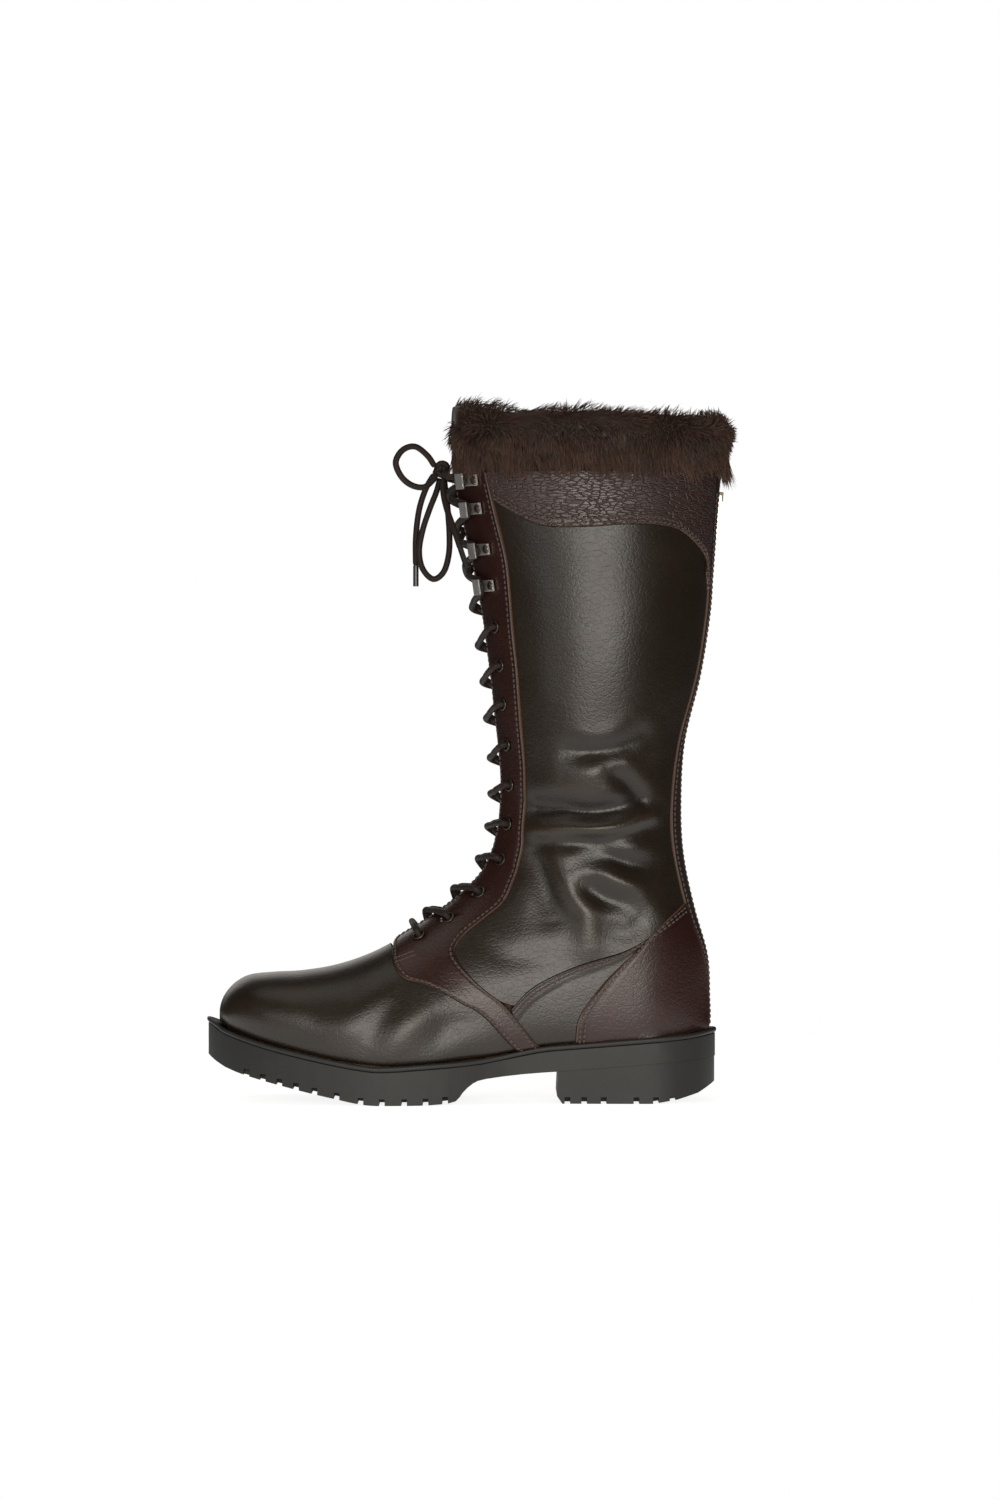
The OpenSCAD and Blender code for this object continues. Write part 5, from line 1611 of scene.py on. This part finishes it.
def make_stage(look):
    scene = bpy.context.scene
    scene.view_settings.view_transform = "Standard"
    camera = bpy.data.cameras.new("view")
    camera.lens = 120
    camera.sensor_fit = "AUTO"
    eye = bpy.data.objects.new("view", camera)
    eye.location = (0.0174, -2.861, 0.1999)
    eye.rotation_euler = (math.pi / 2, 0, 0)
    bpy.context.collection.objects.link(eye)
    scene.camera = eye

    world = bpy.data.worlds.new("studio")
    world.use_nodes = True
    sky = world.node_tree.nodes["Background"]
    sky.inputs["Color"].default_value = (1, 1, 1, 1)
    ray = world.node_tree.nodes.new("ShaderNodeLightPath")
    share = world.node_tree.nodes.new("ShaderNodeMapRange")
    share.inputs["To Min"].default_value = look.fill_light
    world.node_tree.links.new(ray.outputs["Is Camera Ray"], share.inputs["Value"])
    world.node_tree.links.new(share.outputs[0], sky.inputs["Strength"])
    scene.world = world

    m = bmesh.new()
    bmesh.ops.create_circle(m, cap_ends=True, segments=96, radius=0.8)
    mesh = bpy.data.meshes.new("floor")
    m.to_mesh(mesh)
    m.free()
    floor = bpy.data.objects.new("floor", mesh)
    floor.location = (0, 0, -0.0002)
    bpy.context.collection.objects.link(floor)
    ground = Finish("floor_paper", specular_ior_level=0.1)
    ground.shader.inputs["Emission Color"].default_value = (1, 1, 1, 1)
    ground.shader.inputs["Emission Strength"].default_value = look.floor_glow
    grain = ground.noise(300, 2)
    ground.set(colour=ground.mix(grain, (0.83, 0.83, 0.83, 1), (0.87, 0.87, 0.87, 1)),
               roughness=0.9 + grain * 0.05)
    reach = ground.out("VectorMath", {"operation": "LENGTH"}, {0: ground.place()}, "Value")
    ground.feed(ground.shader.inputs["Alpha"], 1 - reach.between(0.28, 0.75))
    mesh.materials.append(ground.material)

    middle = (0.03, 0, 0.2)
    warm = (1, 0.945, 0.88)
    soft_light("front_box", (0.20, -1.8, 0.27), middle, (1.25, 0.72), look.front_light, warm)
    soft_light("back_box", (-0.5, 1.9, 0.8), middle, (1.3, 1.0), look.back_light, warm)
    soft_light("top_box", (-0.3, -0.25, 1.7), middle, (1.2, 1.2), look.top_light, warm)
    soft_light("low_box", (-1.0, -1.5, 0.35), (-0.06, 0, 0.06), (0.7, 0.5), look.low_light)


# ---------------------------------------------------------------- settings and operators

def colour_setting(name, description, default):
    return FloatVectorProperty(name=name, description=description, default=default, size=3,
                               subtype="COLOR", min=0.0, max=1.0)


class BootLook(bpy.types.PropertyGroup):
    """Colours and textures of the leather, fur, laces and sole"""
    leather: colour_setting("Leather", "Olive-brown leather of the vamp and quarters",
                            (0.0150, 0.0094, 0.0050))
    # Lighter tone of the leather: its drifting tone, the wax pulled up on the rolls and the painted
    # highlight on them.
    leather_wear_and_highlight: colour_setting("Worn leather", "Where the wax pulls up on the rolls",
                                 (0.034, 0.0225, 0.0135))
    trim: colour_setting("Trim", "Red-brown leather of the facings, heel and collar",
                         (0.0215, 0.0058, 0.0036))
    # Lighter tone of the red-brown leather: its patches, and the painted highlight on the rolls and
    # the raised grain.
    trim_wear_and_highlight: colour_setting("Worn trim", "Lighter patches of the red-brown leather",
                              (0.058, 0.018, 0.011))
    strip: colour_setting("Back strip", "Dark leather beside the zip", (0.018, 0.0115, 0.0075))
    sole: colour_setting("Sole", "Moulded rubber", (0.0165, 0.0165, 0.0148))
    fur: colour_setting("Fur", "Roots of the cuff and the fleece", (0.040, 0.0190, 0.0125))
    fur_tips: colour_setting("Fur tips", "Ends of the pile", (0.185, 0.100, 0.062))
    lace: colour_setting("Lace", "Braided lace", (0.024, 0.0125, 0.0090))
    thread: colour_setting("Thread", "Seam thread", (0.060, 0.034, 0.024))
    grain: FloatProperty(name="Grain", description="Depth of the leather's pores, 1 as normal",
                         default=1.0, min=0.0, max=3.0)


class BootSizes(bpy.types.PropertyGroup):
    """Sizes of the sewn and fibrous details"""
    lace_width: FloatProperty(name="Lace", description="Diameter of the lace", default=0.0036,
                              unit="LENGTH")
    stitch: FloatProperty(name="Stitch", description="Length of one stitch and its gap",
                          default=0.0031, unit="LENGTH")
    pile: FloatProperty(name="Pile", description="Length of the fur", default=0.0082,
                        unit="LENGTH")
    strands: IntProperty(name="Strands", description="Strands of fur on each half of the cuff",
                         default=8300, min=100, max=8300)


class BootStudio(bpy.types.PropertyGroup):
    """Strength of the studio lights"""
    front_light: FloatProperty(name="Front", description="Large box beside the camera",
                               default=21.0, unit="POWER")
    back_light: FloatProperty(name="Back", description="Box behind", default=5.0,
                              unit="POWER")
    top_light: FloatProperty(name="Top", description="Box overhead", default=4.0, unit="POWER")
    low_light: FloatProperty(name="Low", description="Low box at the toe", default=2.5,
                             unit="POWER")
    fill_light: FloatProperty(name="Fill", description="Brightness of the studio all round",
                              default=0.05, min=0.0, max=1.0)
    floor_glow: FloatProperty(name="Floor", description="Own brightness of the paper floor",
                              default=0.85, min=0.0, max=2.0)


class BOOT_OT_stage(bpy.types.Operator):
    """Camera, paper floor and soft lights"""
    bl_idname = "boot.stage"
    bl_label = "Stage"

    def execute(self, context):
        make_stage(context.scene.boot_studio)
        return {"FINISHED"}


class BOOT_OT_finishes(bpy.types.Operator):
    """Leathers, rubber, metals, braid and pile"""
    bl_idname = "boot.finishes"
    bl_label = "Finishes"

    def execute(self, context):
        make_finishes(context.scene.boot_look)
        return {"FINISHED"}


class BOOT_OT_laces(bpy.types.Operator):
    """Lacing, knot, bow, tails and aglets"""
    bl_idname = "boot.laces"
    bl_label = "Laces"

    def execute(self, context):
        make_laces(context.scene.boot_sizes)
        return {"FINISHED"}


class BOOT_OT_panels(bpy.types.Operator):
    """Vamp, quarters, facings, heel covers, collar and back strips"""
    bl_idname = "boot.panels"
    bl_label = "Leather panels"

    def execute(self, context):
        make_panels()
        return {"FINISHED"}


class BOOT_OT_stitching(bpy.types.Operator):
    """Rows of stitches along every seam, and the bar tacks"""
    bl_idname = "boot.stitching"
    bl_label = "Stitching"

    def execute(self, context):
        make_stitching(context.scene.boot_sizes)
        return {"FINISHED"}


class BOOT_OT_linings(bpy.types.Operator):
    """Fleece linings, tongue and footbed"""
    bl_idname = "boot.linings"
    bl_label = "Linings and tongue"

    def execute(self, context):
        make_linings()
        make_tongue()
        make_footbed()
        return {"FINISHED"}


class BOOT_OT_fur(bpy.types.Operator):
    """Fur cuff and the pile at the tongue"""
    bl_idname = "boot.fur"
    bl_label = "Fur"

    def execute(self, context):
        make_cuff(context.scene.boot_sizes)
        make_tongue_pile()
        return {"FINISHED"}


class BOOT_OT_hardware(bpy.types.Operator):
    """Eyelets, speed hooks and their rivets"""
    bl_idname = "boot.hardware"
    bl_label = "Eyelets and hooks"

    def execute(self, context):
        make_hardware()
        return {"FINISHED"}


class BOOT_OT_zip(bpy.types.Operator):
    """Tapes, teeth, slider and pull of the rear zip"""
    bl_idname = "boot.zip"
    bl_label = "Zip"

    def execute(self, context):
        make_zip()
        return {"FINISHED"}


class BOOT_OT_sole(bpy.types.Operator):
    """Welt lip, outsole, heel block and the layers hidden over them"""
    bl_idname = "boot.sole"
    bl_label = "Sole"

    def execute(self, context):
        make_sole()
        return {"FINISHED"}


OPERATORS = (BOOT_OT_finishes, BOOT_OT_stage, BOOT_OT_laces, BOOT_OT_panels, BOOT_OT_stitching,
             BOOT_OT_linings, BOOT_OT_fur, BOOT_OT_hardware, BOOT_OT_zip, BOOT_OT_sole)
GROUPS = {"boot_look": BootLook, "boot_sizes": BootSizes, "boot_studio": BootStudio}


class BOOT_PT_panel(bpy.types.Panel):
    """Makes the boot's pieces and holds their settings"""
    bl_idname = "BOOT_PT_panel"
    bl_label = "Laced country boot"
    bl_space_type = "VIEW_3D"
    bl_region_type = "UI"
    bl_category = "Boot"

    def draw(self, context):
        for group, kind in GROUPS.items():
            box = self.layout.box()
            for key in kind.__annotations__:
                box.prop(getattr(context.scene, group), key)
        for operator in OPERATORS:
            self.layout.operator(operator.bl_idname)


CLASSES = (*GROUPS.values(), *OPERATORS, BOOT_PT_panel)


def register():
    for kind in CLASSES:
        bpy.utils.register_class(kind)
    for name, kind in GROUPS.items():
        setattr(bpy.types.Scene, name, PointerProperty(type=kind))


def unregister():
    for name in GROUPS:
        delattr(bpy.types.Scene, name)
    for kind in reversed(CLASSES):
        bpy.utils.unregister_class(kind)


def main():
    register()
    for operator in OPERATORS:
        group, name = operator.bl_idname.split(".")
        getattr(getattr(bpy.ops, group), name)()


if __name__ == "__main__":
    main()
